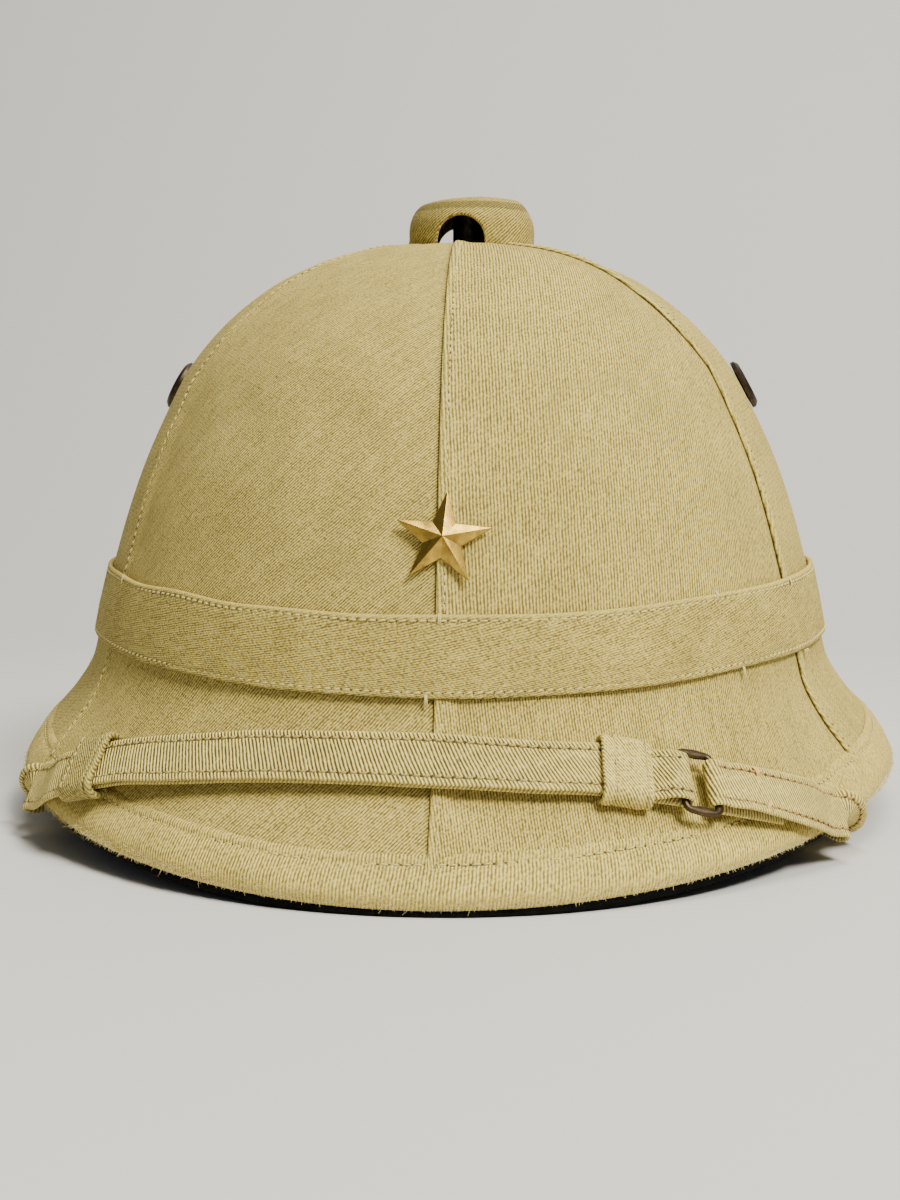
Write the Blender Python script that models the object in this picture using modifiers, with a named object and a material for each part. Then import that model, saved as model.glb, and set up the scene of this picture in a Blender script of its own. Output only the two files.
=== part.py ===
"""A cloth-covered pith helmet: hatband, vent button, star badge, and a chin strap worn over the brim.

The helmet stands on its rim. Its front faces -Y, its right side as seen from the front is +X, +Z is up,
and the origin is on the ground under its middle. Sizes are in millimetres until a mesh is written in metres.
"""

import math

import bmesh
import bpy
from mathutils import Matrix, Vector

MM = 0.001
GAP = 0.3

# Overall form of the cloth surface
CROWN_RISE = 92.6
BAND_ZONE_HEIGHT = 21.5
BRIM_DROP = 33.1
SIDE_RIM_HEIGHT = 15.4
HEAD_HALF_WIDTH = 103.2
HEAD_HALF_LENGTH = 124.5
BAND_FLARE_SIDE = 4.8
BAND_FLARE_END = 6.5
BRIM_FLARE_SIDE = 18.5
BRIM_FLARE_END = 32.3
BAND_SADDLE = 6.5
RIM_SADDLE = 12.0

# Walls
SHELL_WALL = 4.0
CLOTH = 1.0
BAND_CLOTH = 1.2

# Hatband and the strip that binds the rim
BAND_WIDTH = 19.6
BAND_INSET = 0.8
BINDING_WIDTH = 10.5
BINDING_TURN = 1.6
SHELL_PAST_CLOTH = 2.4

# Vent button on the crown
CAP_RADIUS = 18.8
CAP_HEIGHT = 23.8
CAP_WALL = 1.8
CAP_SHOULDER = 6.5
CAP_SHOULDER_DROP = 9.5
CAP_SHIFT = 3.1
ARCH_WIDTH = 13.6
ARCH_HEIGHT = 7.6
ARCH_TURN = 3.0
ARCH_SHIFT = -0.3
STEM_RADIUS = 4.9
STEM_SHIFT = 2.3

# Round vents on the sides of the crown
SIDE_VENT_RADIUS = 7.5
SIDE_VENT_PROUD = 1.5
SIDE_VENT_ROW = 6.35
SIDE_VENT_AROUND = 84.0

# Star badge
STAR_RADIUS = 12.1
STAR_INNER = 4.9
STAR_EDGE = 0.8
STAR_PEAK = 3.0
STAR_ROW = 9.0
STAR_AROUND = 0.6
STAR_LEAN = 5.0

# Chin strap, its keepers and its buckle
STRAP_WIDTH = 13.5
STRAP_CLOTH = 1.0
STRAP_CLEAR = 1.0
INSIDE_CLEAR = 1.9
RIM_CLEAR = 1.7
RIM_CROSSING = 2.0
STRAP_ROUNDING = 0.45
BINDING_EASE = 0.4
BAR_RISE = 6.4
BAR_LEAD = 1.2
BAR_DIP = 0.2
KEEPER_CLOTH = 1.0
KEEPER_LENGTH = 12.2
KEEPER_SPARE = 1.1
KEEPER_EASE = 0.8
LEFT_KEEPER_AROUND = -44.3
LIFT_START = -28.0
LIFT_FULL = -40.5
RIGHT_KEEPER_AROUND = 22.0
BUCKLE_AROUND = 30.4
BUCKLE_WIRE = 0.9
BUCKLE_LENGTH = 8.6
BUCKLE_SPARE = 0.7
BUCKLE_CORNER = 1.6
SHORT_TAIL_AROUND = 40.5
STRAP_ANCHOR_AROUND = 88.0

# Crown sections from the top down: height and reach as shares of the crown, sag of the ends as a share
CROWN_ROWS = (
    # rise, reach, saddle
    (1.000, 0.000, 0.00),
    (0.989, 0.185, 0.00),
    (0.950, 0.360, 0.00),
    (0.888, 0.503, 0.05),
    (0.805, 0.615, 0.12),
    (0.708, 0.709, 0.23),
    (0.594, 0.789, 0.37),
    (0.459, 0.853, 0.52),
    (0.319, 0.910, 0.69),
    (0.173, 0.956, 0.85),
    (0.000, 1.000, 1.00),
)
# Sections behind the hatband: share of the zone's height and of its flare at the sides and at the ends
BAND_ROWS = (
    # drop, side flare, end flare
    (0.56, 0.62, 0.54),
    (1.00, 1.00, 1.00),
)
# Brim sections: shares of the brim's drop, of its flare, and of the growth of the saddle
BRIM_ROWS = (
    # drop, side flare, end flare, saddle
    (0.236, 0.119, 0.164, 0.18),
    (0.486, 0.405, 0.418, 0.45),
    (0.736, 0.784, 0.716, 0.73),
    (1.000, 1.000, 1.000, 1.00),
)
# Middle of the chin strap on the brim: degrees from the front, share of the brim from hatband to rim
STRAP_ROUTE = (
    # around, share
    (-58.0, 0.985),
    (-54.0, 0.92),
    (-50.0, 0.84),
    (-45.0, 0.73),
    (-39.0, 0.615),
    (-32.8, 0.525),
    (-21.6, 0.41),
    (-11.2, 0.365),
    (0.0, 0.36),
    (12.4, 0.41),
    (19.6, 0.455),
    (26.4, 0.545),
    (32.0, 0.645),
    (38.4, 0.75),
    (44.0, 0.855),
    (48.0, 0.935),
    (50.5, 0.985),
)
# Hidden ends of the strap inside the brim: share of the way back to the anchor, share of the brim
INSIDE_ROUTE = (
    # back, share
    (0.10, 0.86),
    (0.35, 0.62),
    (0.65, 0.40),
    (0.88, 0.20),
    (1.00, 0.04),
)

CROWN_END = len(CROWN_ROWS) - 1
BAND_END = CROWN_END + len(BAND_ROWS)
RIM = BAND_END + len(BRIM_ROWS)
SEGMENTS = 48
PANELS = 6
PANEL_COLUMNS = SEGMENTS // PANELS
PANEL_START = 0.55
FRONT_SEAM = 60.0
FRONT_SEAM_PINCH = 14.0
SEAM_STRAIGHT_ROW = 6.0
STRAP_STEPS = 2
ROW_STEP = 0.01
TURN_STEPS = 6
BRIM_STEPS = 6

COLOURS = {
    # slot: (colour, roughness, metallic)
    "khaki_cloth": ((0.47, 0.38, 0.20, 1.0), 0.9, 0.0),
    "strap_cloth": ((0.55, 0.45, 0.25, 1.0), 0.9, 0.0),
    "dark_lining": ((0.012, 0.012, 0.011, 1.0), 0.95, 0.0),
    "brass": ((0.56, 0.38, 0.15, 1.0), 0.35, 1.0),
    "dark_metal": ((0.05, 0.035, 0.02, 1.0), 0.45, 1.0),
}


def section_table():
    """Rows of (half width, side height, half length, saddle) from the crown's top to the rim."""
    band_top = SIDE_RIM_HEIGHT + BRIM_DROP + BAND_ZONE_HEIGHT
    rows = []
    for rise, reach, saddle in CROWN_ROWS:
        height = band_top + rise * CROWN_RISE
        rows.append((reach * HEAD_HALF_WIDTH, height, reach * HEAD_HALF_LENGTH, saddle * BAND_SADDLE))
    for drop, side, end in BAND_ROWS:
        width = HEAD_HALF_WIDTH + side * BAND_FLARE_SIDE
        length = HEAD_HALF_LENGTH + end * BAND_FLARE_END
        rows.append((width, band_top - drop * BAND_ZONE_HEIGHT, length, BAND_SADDLE))
    for drop, side, end, saddle in BRIM_ROWS:
        width = HEAD_HALF_WIDTH + BAND_FLARE_SIDE + side * BRIM_FLARE_SIDE
        height = SIDE_RIM_HEIGHT + (1.0 - drop) * BRIM_DROP
        length = HEAD_HALF_LENGTH + BAND_FLARE_END + end * BRIM_FLARE_END
        rows.append((width, height, length, BAND_SADDLE + saddle * (RIM_SADDLE - BAND_SADDLE)))
    return rows


SECTIONS = section_table()


def section_at(row):
    """The section at a fractional row, on a smooth curve through the table."""
    last = len(SECTIONS) - 1
    index = max(0, min(last - 1, int(math.floor(row))))
    share = row - index
    before = SECTIONS[index - 1] if index > 0 else None
    here = SECTIONS[index]
    there = SECTIONS[index + 1]
    if before is None:
        mirrored = SECTIONS[1]
        before = (-mirrored[0], mirrored[1], -mirrored[2], mirrored[3])
    if index + 2 <= last:
        after = SECTIONS[index + 2]
    else:
        after = tuple(2 * b - a for a, b in zip(here, there))
    values = []
    for p0, p1, p2, p3 in zip(before, here, there, after):
        cubic = (-p0 + 3 * p1 - 3 * p2 + p3) * share**3
        square = (2 * p0 - 5 * p1 + 4 * p2 - p3) * share**2
        values.append(0.5 * (2 * p1 + (p2 - p0) * share + square + cubic))
    return values


def cloth_point(row, around):
    """A point of the cloth surface; around is in degrees from the front towards +X."""
    half_width, height, half_length, saddle = section_at(row)
    angle = math.radians(around)
    forward = math.cos(angle)
    return Vector((half_width * math.sin(angle), -half_length * forward, height - saddle * forward**2))


def directions(row, around):
    """Unit vectors at a surface point: outwards, down the section, and around towards +X."""
    row = max(row, 0.05)
    down = (cloth_point(row + ROW_STEP, around) - cloth_point(row - ROW_STEP, around)).normalized()
    side = (cloth_point(row, around + 1.0) - cloth_point(row, around - 1.0)).normalized()
    out = side.cross(down).normalized() * -1.0
    return out, down, side


def offset_point(row, around, out):
    return cloth_point(row, around) + directions(row, around)[0] * out


def row_above_rim(around, distance):
    """The row that lies a distance up the surface from the rim."""
    pitch = (cloth_point(RIM, around) - cloth_point(RIM - ROW_STEP, around)).length / ROW_STEP
    return RIM - distance / pitch


def row_below_band_top(around, distance):
    """The row that lies a distance down the surface from the top of the hatband's zone."""
    zone = (cloth_point(BAND_END, around) - cloth_point(CROWN_END, around)).length
    return CROWN_END + (BAND_END - CROWN_END) * distance / zone


def brim_row(share):
    return BAND_END + share * (RIM - BAND_END)


def seam_angle(number, row):
    """Degrees from the front of a seam; the two beside the front draw together near the top."""
    angle = number * 360.0 / PANELS
    if angle > 180.0:
        angle -= 360.0
    if abs(abs(angle) - FRONT_SEAM) < 1.0 and row < SEAM_STRAIGHT_ROW:
        pinch = FRONT_SEAM_PINCH * (1.0 - row / SEAM_STRAIGHT_ROW)
        angle -= math.copysign(pinch, angle)
    return angle


def start_scene():
    for thing in list(bpy.data.objects):
        bpy.data.objects.remove(thing, do_unlink=True)
    parts = bpy.data.collections.new("pith_helmet")
    cutters = bpy.data.collections.new("cutters")
    bpy.context.scene.collection.children.link(parts)
    bpy.context.scene.collection.children.link(cutters)
    return parts, cutters


def make_material(name, slot):
    colour, roughness, metallic = COLOURS[slot]
    material = bpy.data.materials.new(name + "_" + slot)
    material.use_nodes = True
    shader = material.node_tree.nodes["Principled BSDF"]
    shader.inputs["Base Color"].default_value = colour
    shader.inputs["Roughness"].default_value = roughness
    shader.inputs["Metallic"].default_value = metallic
    material.diffuse_color = colour
    return material


def add_object(name, mesh, collection, slot=None, smooth=40.0):
    thing = bpy.data.objects.new(name, mesh)
    collection.objects.link(thing)
    if slot:
        mesh.materials.append(make_material(name, slot))
        mesh.shade_smooth()
        mesh.set_sharp_from_angle(angle=math.radians(smooth))
    return thing


def mesh_from(name, points, faces):
    """A mesh from points in millimetres."""
    mesh = bpy.data.meshes.new(name)
    mesh.from_pydata([tuple(point * MM) for point in points], [], faces)
    mesh.update()
    return mesh


def grid_mesh(name, rows, ring=False, pole=None):
    """An open surface through rows of points; ring joins each row's ends, pole closes the first row."""
    count = len(rows[0])
    points = [point for row in rows for point in row]
    faces = []
    for line in range(len(rows) - 1):
        for column in range(count if ring else count - 1):
            right = (column + 1) % count
            low = line * count
            high = low + count
            faces.append((low + column, high + column, high + right, low + right))
    if pole is not None:
        top = len(points)
        points.append(pole)
        faces.extend((top, column, (column + 1) % count) for column in range(count))
    return mesh_from(name, points, faces)


def add_solidify(thing, thickness, offset):
    wall = thing.modifiers.new("wall", "SOLIDIFY")
    wall.thickness = thickness * MM
    wall.offset = offset
    wall.use_even_offset = True


def hide_cutter(cutter):
    cutter.hide_render = True
    cutter.display_type = "WIRE"


def add_cut(thing, cutter):
    cut = thing.modifiers.new("cut_" + cutter.name, "BOOLEAN")
    cut.operation = "DIFFERENCE"
    cut.solver = "EXACT"
    cut.object = cutter


def ring_angles():
    return [index * 360.0 / SEGMENTS for index in range(SEGMENTS)]


def brim_rows(start, stop):
    return [start + (stop - start) * index / BRIM_STEPS for index in range(BRIM_STEPS + 1)]


def make_shell(parts, cutters):
    """The stiff wall: outer face under the cloth, open below, trimmed flat where it stands."""
    outer = -(CLOTH + GAP)
    rows = [float(row) for row in range(1, CROWN_END + 2)] + brim_rows(BAND_END, RIM)
    rings = []
    for row in rows:
        rings.append([offset_point(row, around, outer) for around in ring_angles()])
    lowest = []
    for around in ring_angles():
        down = directions(RIM, around)[1]
        lowest.append(offset_point(RIM, around, outer) + down * SHELL_PAST_CLOTH)
    rings[-1] = lowest
    pole = Vector((0.0, 0.0, SECTIONS[0][1] + outer))
    shell = add_object("shell", grid_mesh("shell", rings, True, pole), parts, "dark_lining")
    add_solidify(shell, SHELL_WALL, -1.0)
    reach = 2.0 * (HEAD_HALF_LENGTH + BAND_FLARE_END + BRIM_FLARE_END) + 40.0
    depth = 20.0
    bpy.ops.mesh.primitive_cube_add(size=1.0)
    ground = bpy.context.active_object
    ground.name = "ground_trim"
    ground.data.transform(Matrix.Diagonal((reach * MM, reach * MM, depth * MM, 1.0)))
    ground.data.transform(Matrix.Translation((0.0, 0.0, -0.5 * depth * MM)))
    move_to(ground, cutters)
    hide_cutter(ground)
    add_cut(shell, ground)


def move_to(thing, collection):
    for owner in list(thing.users_collection):
        owner.objects.unlink(thing)
    collection.objects.link(thing)


def panel_points(number, row, out):
    """A row of points across one cloth panel, between its two seams."""
    left = seam_angle(number, row)
    right = seam_angle((number + 1) % PANELS, row)
    if right <= left:
        right += 360.0
    reach = max(cloth_point(row, left).xy.length, 1.0)
    trim = math.degrees(0.5 * GAP / reach)
    left += trim
    right -= trim
    angles = [left + (right - left) * column / PANEL_COLUMNS for column in range(PANEL_COLUMNS + 1)]
    return [offset_point(row, around, out) for around in angles]


def make_panels(parts):
    """Six cloth panels on the crown and six on the brim, which meet under the hatband."""
    joint = CROWN_END + 1.0
    crown_rows = [PANEL_START] + [float(row) for row in range(1, CROWN_END + 1)] + [joint - 0.02]
    lower_rows = [joint + 0.02] + brim_rows(BAND_END, RIM)
    for kind, rows in (("crown", crown_rows), ("brim", lower_rows)):
        for number in range(PANELS):
            name = f"{kind}_panel_{number + 1}"
            lines = [panel_points(number, row, 0.0) for row in rows]
            panel = add_object(name, grid_mesh(name, lines), parts, "khaki_cloth")
            add_solidify(panel, CLOTH, -1.0)


def ring_solid(name, parts, slot, profile):
    """A closed ring; profile gives, for an angle, the corners of its section as points."""
    columns = [profile(around) for around in ring_angles()]
    corners = len(columns[0])
    points = [point for column in columns for point in column]
    faces = []
    for index in range(SEGMENTS):
        here = index * corners
        there = (index + 1) % SEGMENTS * corners
        for corner in range(corners):
            following = (corner + 1) % corners
            faces.append((here + corner, here + following, there + following, there + corner))
    mesh = mesh_from(name, points, faces)
    fix_normals(mesh)
    return add_object(name, mesh, parts, slot)


def fix_normals(mesh):
    work = bmesh.new()
    work.from_mesh(mesh)
    bmesh.ops.recalc_face_normals(work, faces=work.faces)
    work.to_mesh(mesh)
    work.free()


def make_hatband(parts):
    def profile(around):
        top = row_below_band_top(around, BAND_INSET)
        bottom = row_below_band_top(around, BAND_INSET + BAND_WIDTH)
        middle = CROWN_END + 1.0
        inner = [offset_point(row, around, GAP) for row in (top, middle, bottom)]
        outer = [offset_point(row, around, GAP + BAND_CLOTH) for row in (bottom, middle, top)]
        return inner + outer

    ring_solid("hatband", parts, "khaki_cloth", profile)


def make_rim_binding(parts):
    """The cloth strip sewn round the rim: flat on the brim and turned in over the panels' lower edge."""
    outer = GAP + CLOTH

    def profile(around):
        out, down, _ = directions(RIM, around)
        rim = cloth_point(RIM, around)
        rows = [row_above_rim(around, BINDING_WIDTH * share) for share in (1.0, 0.5)]
        face = [offset_point(row, around, outer) for row in rows]
        back = [offset_point(row, around, GAP) for row in reversed(rows)]
        nose = [
            rim + out * outer,
            rim + out * (0.6 * outer) + down * (0.7 * BINDING_TURN),
            rim - out * (0.2 * CLOTH) + down * BINDING_TURN,
            rim - out * CLOTH + down * BINDING_TURN,
            rim - out * CLOTH + down * GAP,
            rim + out * GAP + down * GAP,
        ]
        return face + nose + back

    ring_solid("rim_binding", parts, "khaki_cloth", profile)


def turned_solid(name, profile, collection, steps, slot=None):
    """A solid of revolution about +Z; the profile runs down its outer side from the axis to the axis."""
    points = [Vector((radius, 0.0, height)) for radius, height in profile]
    mesh = mesh_from(name, points, [])
    work = bmesh.new()
    work.from_mesh(mesh)
    work.verts.ensure_lookup_table()
    for index in range(len(points) - 1):
        work.edges.new((work.verts[index], work.verts[index + 1]))
    work.to_mesh(mesh)
    work.free()
    thing = add_object(name, mesh, collection, slot)
    turn = thing.modifiers.new("turn", "SCREW")
    turn.axis = "Z"
    turn.angle = 2.0 * math.pi
    turn.steps = steps
    turn.render_steps = steps
    turn.use_merge_vertices = True
    turn.merge_threshold = 0.00001
    turn.use_normal_calculate = False
    return thing


def arc_points(centre, radius, start, stop, count):
    """Points of an arc in a profile, from one angle to another in degrees."""
    points = []
    for index in range(count + 1):
        angle = math.radians(start + (stop - start) * index / count)
        points.append((centre[0] + radius * math.cos(angle), centre[1] + radius * math.sin(angle)))
    return points


def shoulder_points(radius, top, width, drop, count):
    """Points of a rounded shoulder in a turned profile, from its flat top down to its side."""
    points = []
    for index in range(count + 1):
        angle = math.radians(90.0 * (1.0 - index / count))
        points.append((radius - width + width * math.cos(angle), top - drop + drop * math.sin(angle)))
    return points


def make_crown_cutter(cutters):
    """The crown's top with a gap over it, which trims what stands on the crown to its curve."""
    rings = []
    for row in (1.0, 2.0, 3.0):
        rings.append([offset_point(row, around, GAP) for around in ring_angles()])
    pole = Vector((0.0, 0.0, SECTIONS[0][1] + GAP))
    cutter = add_object("crown_top_trim", grid_mesh("crown_top_trim", rings, True, pole), cutters)
    add_solidify(cutter, 3.0 * SHELL_WALL, -1.0)
    hide_cutter(cutter)
    return cutter


def make_vent_button(parts, cutters):
    """The hollow cap with an arch at front and back, and the dark stem that holds it to the crown."""
    crown_trim = make_crown_cutter(cutters)
    base = SECTIONS[3][1]
    top = base + CAP_HEIGHT
    inner_radius = CAP_RADIUS - CAP_WALL
    profile = [(0.0, top)]
    profile += shoulder_points(CAP_RADIUS, top, CAP_SHOULDER, CAP_SHOULDER_DROP, 4)
    profile += [(CAP_RADIUS, base), (inner_radius, base)]
    inner = shoulder_points(inner_radius, top - CAP_WALL, CAP_SHOULDER, CAP_SHOULDER_DROP, 3)
    profile += list(reversed(inner))
    profile += [(0.0, top - CAP_WALL)]
    cap = turned_solid("vent_cap", profile, parts, 32, "khaki_cloth")
    cap.location = Vector((CAP_SHIFT, 0.0, 0.0)) * MM

    half = 0.5 * ARCH_WIDTH
    spring = SECTIONS[0][1] + ARCH_HEIGHT - half
    outline = [(half, base - 1.0)] + arc_points((0.0, spring), half, 0.0, 180.0, 8) + [(-half, base - 1.0)]
    reach = CAP_RADIUS + 4.0
    ends = [[Vector((x, y, z)) for x, z in outline] for y in (-reach, reach)]
    count = len(outline)
    faces = [tuple(range(count)), tuple(range(2 * count - 1, count - 1, -1))]
    faces += [(i, i + count, (i + 1) % count + count, (i + 1) % count) for i in range(count)]
    arch_mesh = mesh_from("arch_cut", ends[0] + ends[1], faces)
    fix_normals(arch_mesh)
    arch = add_object("arch_cut", arch_mesh, cutters)
    arch.location = Vector((ARCH_SHIFT, 0.0, 0.0)) * MM
    arch.rotation_euler = (0.0, 0.0, math.radians(ARCH_TURN))
    hide_cutter(arch)
    add_cut(cap, crown_trim)
    add_cut(cap, arch)

    ceiling = top - CAP_WALL - GAP
    stem_profile = [(0.0, ceiling), (STEM_RADIUS, ceiling), (STEM_RADIUS, base), (0.0, base)]
    stem = turned_solid("vent_stem", stem_profile, parts, 20, "dark_metal")
    stem.location = Vector((STEM_SHIFT, 0.0, 0.0)) * MM
    add_cut(stem, crown_trim)


def frame_matrix(origin, across, up, out):
    """A placement whose X, Y and Z axes are the three given directions, with its origin in millimetres."""
    matrix = Matrix((across, up, out)).transposed().to_4x4()
    matrix.translation = origin * MM
    return matrix


def make_side_vents(parts):
    """A low domed metal vent on each side of the crown, with a raised rim and a sunk middle."""
    radius = SIDE_VENT_RADIUS
    proud = SIDE_VENT_PROUD
    seat = GAP + 0.5 * radius**2 / HEAD_HALF_LENGTH
    profile = [(0.0, 0.45 * proud), (0.45 * radius, 0.4 * proud), (0.6 * radius, proud)]
    profile += [(0.8 * radius, proud), (radius, 0.3 * proud), (radius, 0.0), (0.0, 0.0)]
    for name, side in (("side_vent_left", -1.0), ("side_vent_right", 1.0)):
        around = side * SIDE_VENT_AROUND
        out, down, along = directions(SIDE_VENT_ROW, around)
        vent = turned_solid(name, profile, parts, 20, "dark_metal")
        origin = offset_point(SIDE_VENT_ROW, around, seat)
        vent.matrix_world = frame_matrix(origin, along, -down, out)


def make_star(parts):
    """A five-pointed star with a raised ridge along each point."""
    work = bmesh.new()
    bmesh.ops.create_circle(work, cap_ends=True, segments=10, radius=STAR_RADIUS * MM)
    corners = sorted(work.verts, key=lambda corner: math.atan2(corner.co.y, corner.co.x))
    tip = max(range(10), key=lambda index: corners[index].co.y)
    for index, corner in enumerate(corners):
        if (index - tip) % 2:
            corner.co *= STAR_INNER / STAR_RADIUS
    lifted = bmesh.ops.extrude_face_region(work, geom=list(work.faces))["geom"]
    raised = [item for item in lifted if isinstance(item, bmesh.types.BMVert)]
    bmesh.ops.translate(work, verts=raised, vec=(0.0, 0.0, STAR_EDGE * MM))
    face = [item for item in lifted if isinstance(item, bmesh.types.BMFace)]
    peak = bmesh.ops.poke(work, faces=face)["verts"]
    bmesh.ops.translate(work, verts=peak, vec=(0.0, 0.0, (STAR_PEAK - STAR_EDGE) * MM))
    bmesh.ops.recalc_face_normals(work, faces=work.faces)
    mesh = bpy.data.meshes.new("star_badge")
    work.to_mesh(mesh)
    work.free()
    star = add_object("star_badge", mesh, parts, "brass", 10.0)
    out, down, along = directions(STAR_ROW, STAR_AROUND)
    seat = GAP + 0.5 * STAR_RADIUS**2 / HEAD_HALF_LENGTH
    placed = frame_matrix(offset_point(STAR_ROW, STAR_AROUND, seat), along, -down, out)
    star.matrix_world = placed @ Matrix.Rotation(-math.radians(STAR_LEAN), 4, "Z")


# Heights of the strap's layers over the brim's cloth, to the middle of each layer
LOWER_LAYER = GAP + KEEPER_CLOTH + KEEPER_EASE + 0.5 * STRAP_CLOTH
UPPER_LAYER = LOWER_LAYER + STRAP_CLOTH + GAP
BINDING_LAYER = GAP + CLOTH + STRAP_CLEAR + 0.5 * STRAP_CLOTH
BAR_TURN = BUCKLE_WIRE + GAP + 0.5 * STRAP_CLOTH
BAR_HEIGHT = LOWER_LAYER + BAR_TURN
OVER_BAR = BAR_HEIGHT + BAR_TURN
INSIDE_LAYER = -(CLOTH + GAP + SHELL_WALL + INSIDE_CLEAR + 0.5 * STRAP_CLOTH)


def route_share(around):
    """The strap's place on the brim at an angle, read smoothly from its route."""
    rows = STRAP_ROUTE
    index = 0
    while index < len(rows) - 2 and around > rows[index + 1][0]:
        index += 1
    start, stop = rows[index], rows[index + 1]
    share = (around - start[0]) / (stop[0] - start[0])
    before = rows[max(index - 1, 0)]
    after = rows[min(index + 2, len(rows) - 1)]
    span = stop[0] - start[0]
    rise_in = (stop[1] - before[1]) / (stop[0] - before[0]) * span
    rise_out = (after[1] - start[1]) / (after[0] - start[0]) * span
    square, cube = share**2, share**3
    return (
        (2 * cube - 3 * square + 1) * start[1]
        + (cube - 2 * square + share) * rise_in
        + (3 * square - 2 * cube) * stop[1]
        + (cube - square) * rise_out
    )


def binding_lift(around):
    """How far the strap stands higher at its left end, where its keeper lies partly on the rim's binding."""
    share = (LIFT_START - around) / (LIFT_START - LIFT_FULL)
    share = max(0.0, min(1.0, share))
    return (CLOTH + GAP) * share**2 * (3.0 - 2.0 * share)


def on_brim(around, out):
    """A station of the strap on the brim: its point and the direction it faces."""
    row = brim_row(route_share(around))
    return offset_point(row, around, out + binding_lift(around)), directions(row, around)[0]


def degrees_along(around, length):
    """The angle that a length along the strap takes at a place on the brim."""
    pitch = (on_brim(around + 0.5, 0.0)[0] - on_brim(around - 0.5, 0.0)[0]).length
    return length / pitch


def buckle_frame():
    """The buckle's middle and its directions outwards, along the strap and across it."""
    centre, out = on_brim(BUCKLE_AROUND, BAR_HEIGHT)
    reach = degrees_along(BUCKLE_AROUND, 0.5 * BUCKLE_LENGTH)
    ahead = on_brim(BUCKLE_AROUND + reach, BAR_HEIGHT)[0] - on_brim(BUCKLE_AROUND - reach, BAR_HEIGHT)[0]
    along = ahead.normalized()
    across = out.cross(along).normalized()
    return centre, along.cross(across).normalized(), along, across


def round_bar(side):
    """Stations of a strap that turns under round a bar of the buckle; side is the way it comes from."""
    centre, out, along, _ = buckle_frame()
    bar = centre - along * (side * 0.5 * BUCKLE_LENGTH)
    stations = []
    for step in range(TURN_STEPS + 1):
        angle = math.pi * step / TURN_STEPS
        facing = out * math.cos(angle) + along * (side * math.sin(angle))
        stations.append((bar + facing * BAR_TURN, facing))
    return stations


def before_bar(side):
    """The station where a strap, still level over the bar, clears the buckle's rounded corners."""
    centre, out, along, _ = buckle_frame()
    place = centre - along * (side * (0.5 * BUCKLE_LENGTH + BAR_TURN + BAR_LEAD))
    return place + out * (BAR_TURN - BAR_DIP), out


def round_rim(around, way):
    """Stations of a strap that passes round the rim, from the cloth side to the inside."""
    middle = 0.5 * (BINDING_LAYER + INSIDE_LAYER)
    radius = BINDING_LAYER - middle
    reach = SHELL_PAST_CLOTH + RIM_CLEAR + STRAP_ROUNDING * radius
    stations = []
    for step in range(TURN_STEPS + 1):
        angle = math.pi * step / TURN_STEPS
        place = around + way * RIM_CROSSING * step / TURN_STEPS
        out, down, _ = directions(RIM, place)
        facing = (out * math.cos(angle) + down * math.sin(angle)).normalized()
        point = cloth_point(RIM, place) + out * (middle + radius * math.cos(angle))
        point += down * (reach * math.sin(angle))
        stations.append((point, facing))
    return stations


def inside_run(around, way):
    """Stations of the strap's hidden end inside the helmet, back to where it is sewn to the wall."""
    stations = []
    anchor = way * STRAP_ANCHOR_AROUND
    for back, share in INSIDE_ROUTE:
        place = around + (anchor - around) * back
        row = brim_row(share)
        out = directions(row, place)[0]
        stations.append((cloth_point(row, place) + out * INSIDE_LAYER, -out))
    return stations


def smooth_stations(stations):
    """More stations on a smooth curve through the given ones, with the direction that each faces."""
    result = []
    last = len(stations) - 1
    for index in range(last):
        places = (max(index - 1, 0), index, index + 1, min(index + 2, last))
        quad = [stations[place] for place in places]
        for step in range(STRAP_STEPS):
            share = step / STRAP_STEPS
            blended = []
            for part in (0, 1):
                p0, p1, p2, p3 = [item[part] for item in quad]
                cubic = (-p0 + 3 * p1 - 3 * p2 + p3) * share**3
                square = (2 * p0 - 5 * p1 + 4 * p2 - p3) * share**2
                blended.append(0.5 * (2 * p1 + (p2 - p0) * share + square + cubic))
            result.append((blended[0], blended[1].normalized()))
    result.append(stations[-1])
    return result


def strap_mesh(name, stations):
    """A flat ribbon along the stations, STRAP_WIDTH wide."""
    stations = smooth_stations(stations)
    last = len(stations) - 1
    rows = []
    for index, (point, facing) in enumerate(stations):
        tangent = (stations[min(index + 1, last)][0] - stations[max(index - 1, 0)][0]).normalized()
        across = facing.cross(tangent).normalized() * (0.5 * STRAP_WIDTH)
        rows.append([point - across, point + across])
    return grid_mesh(name, rows)


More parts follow.
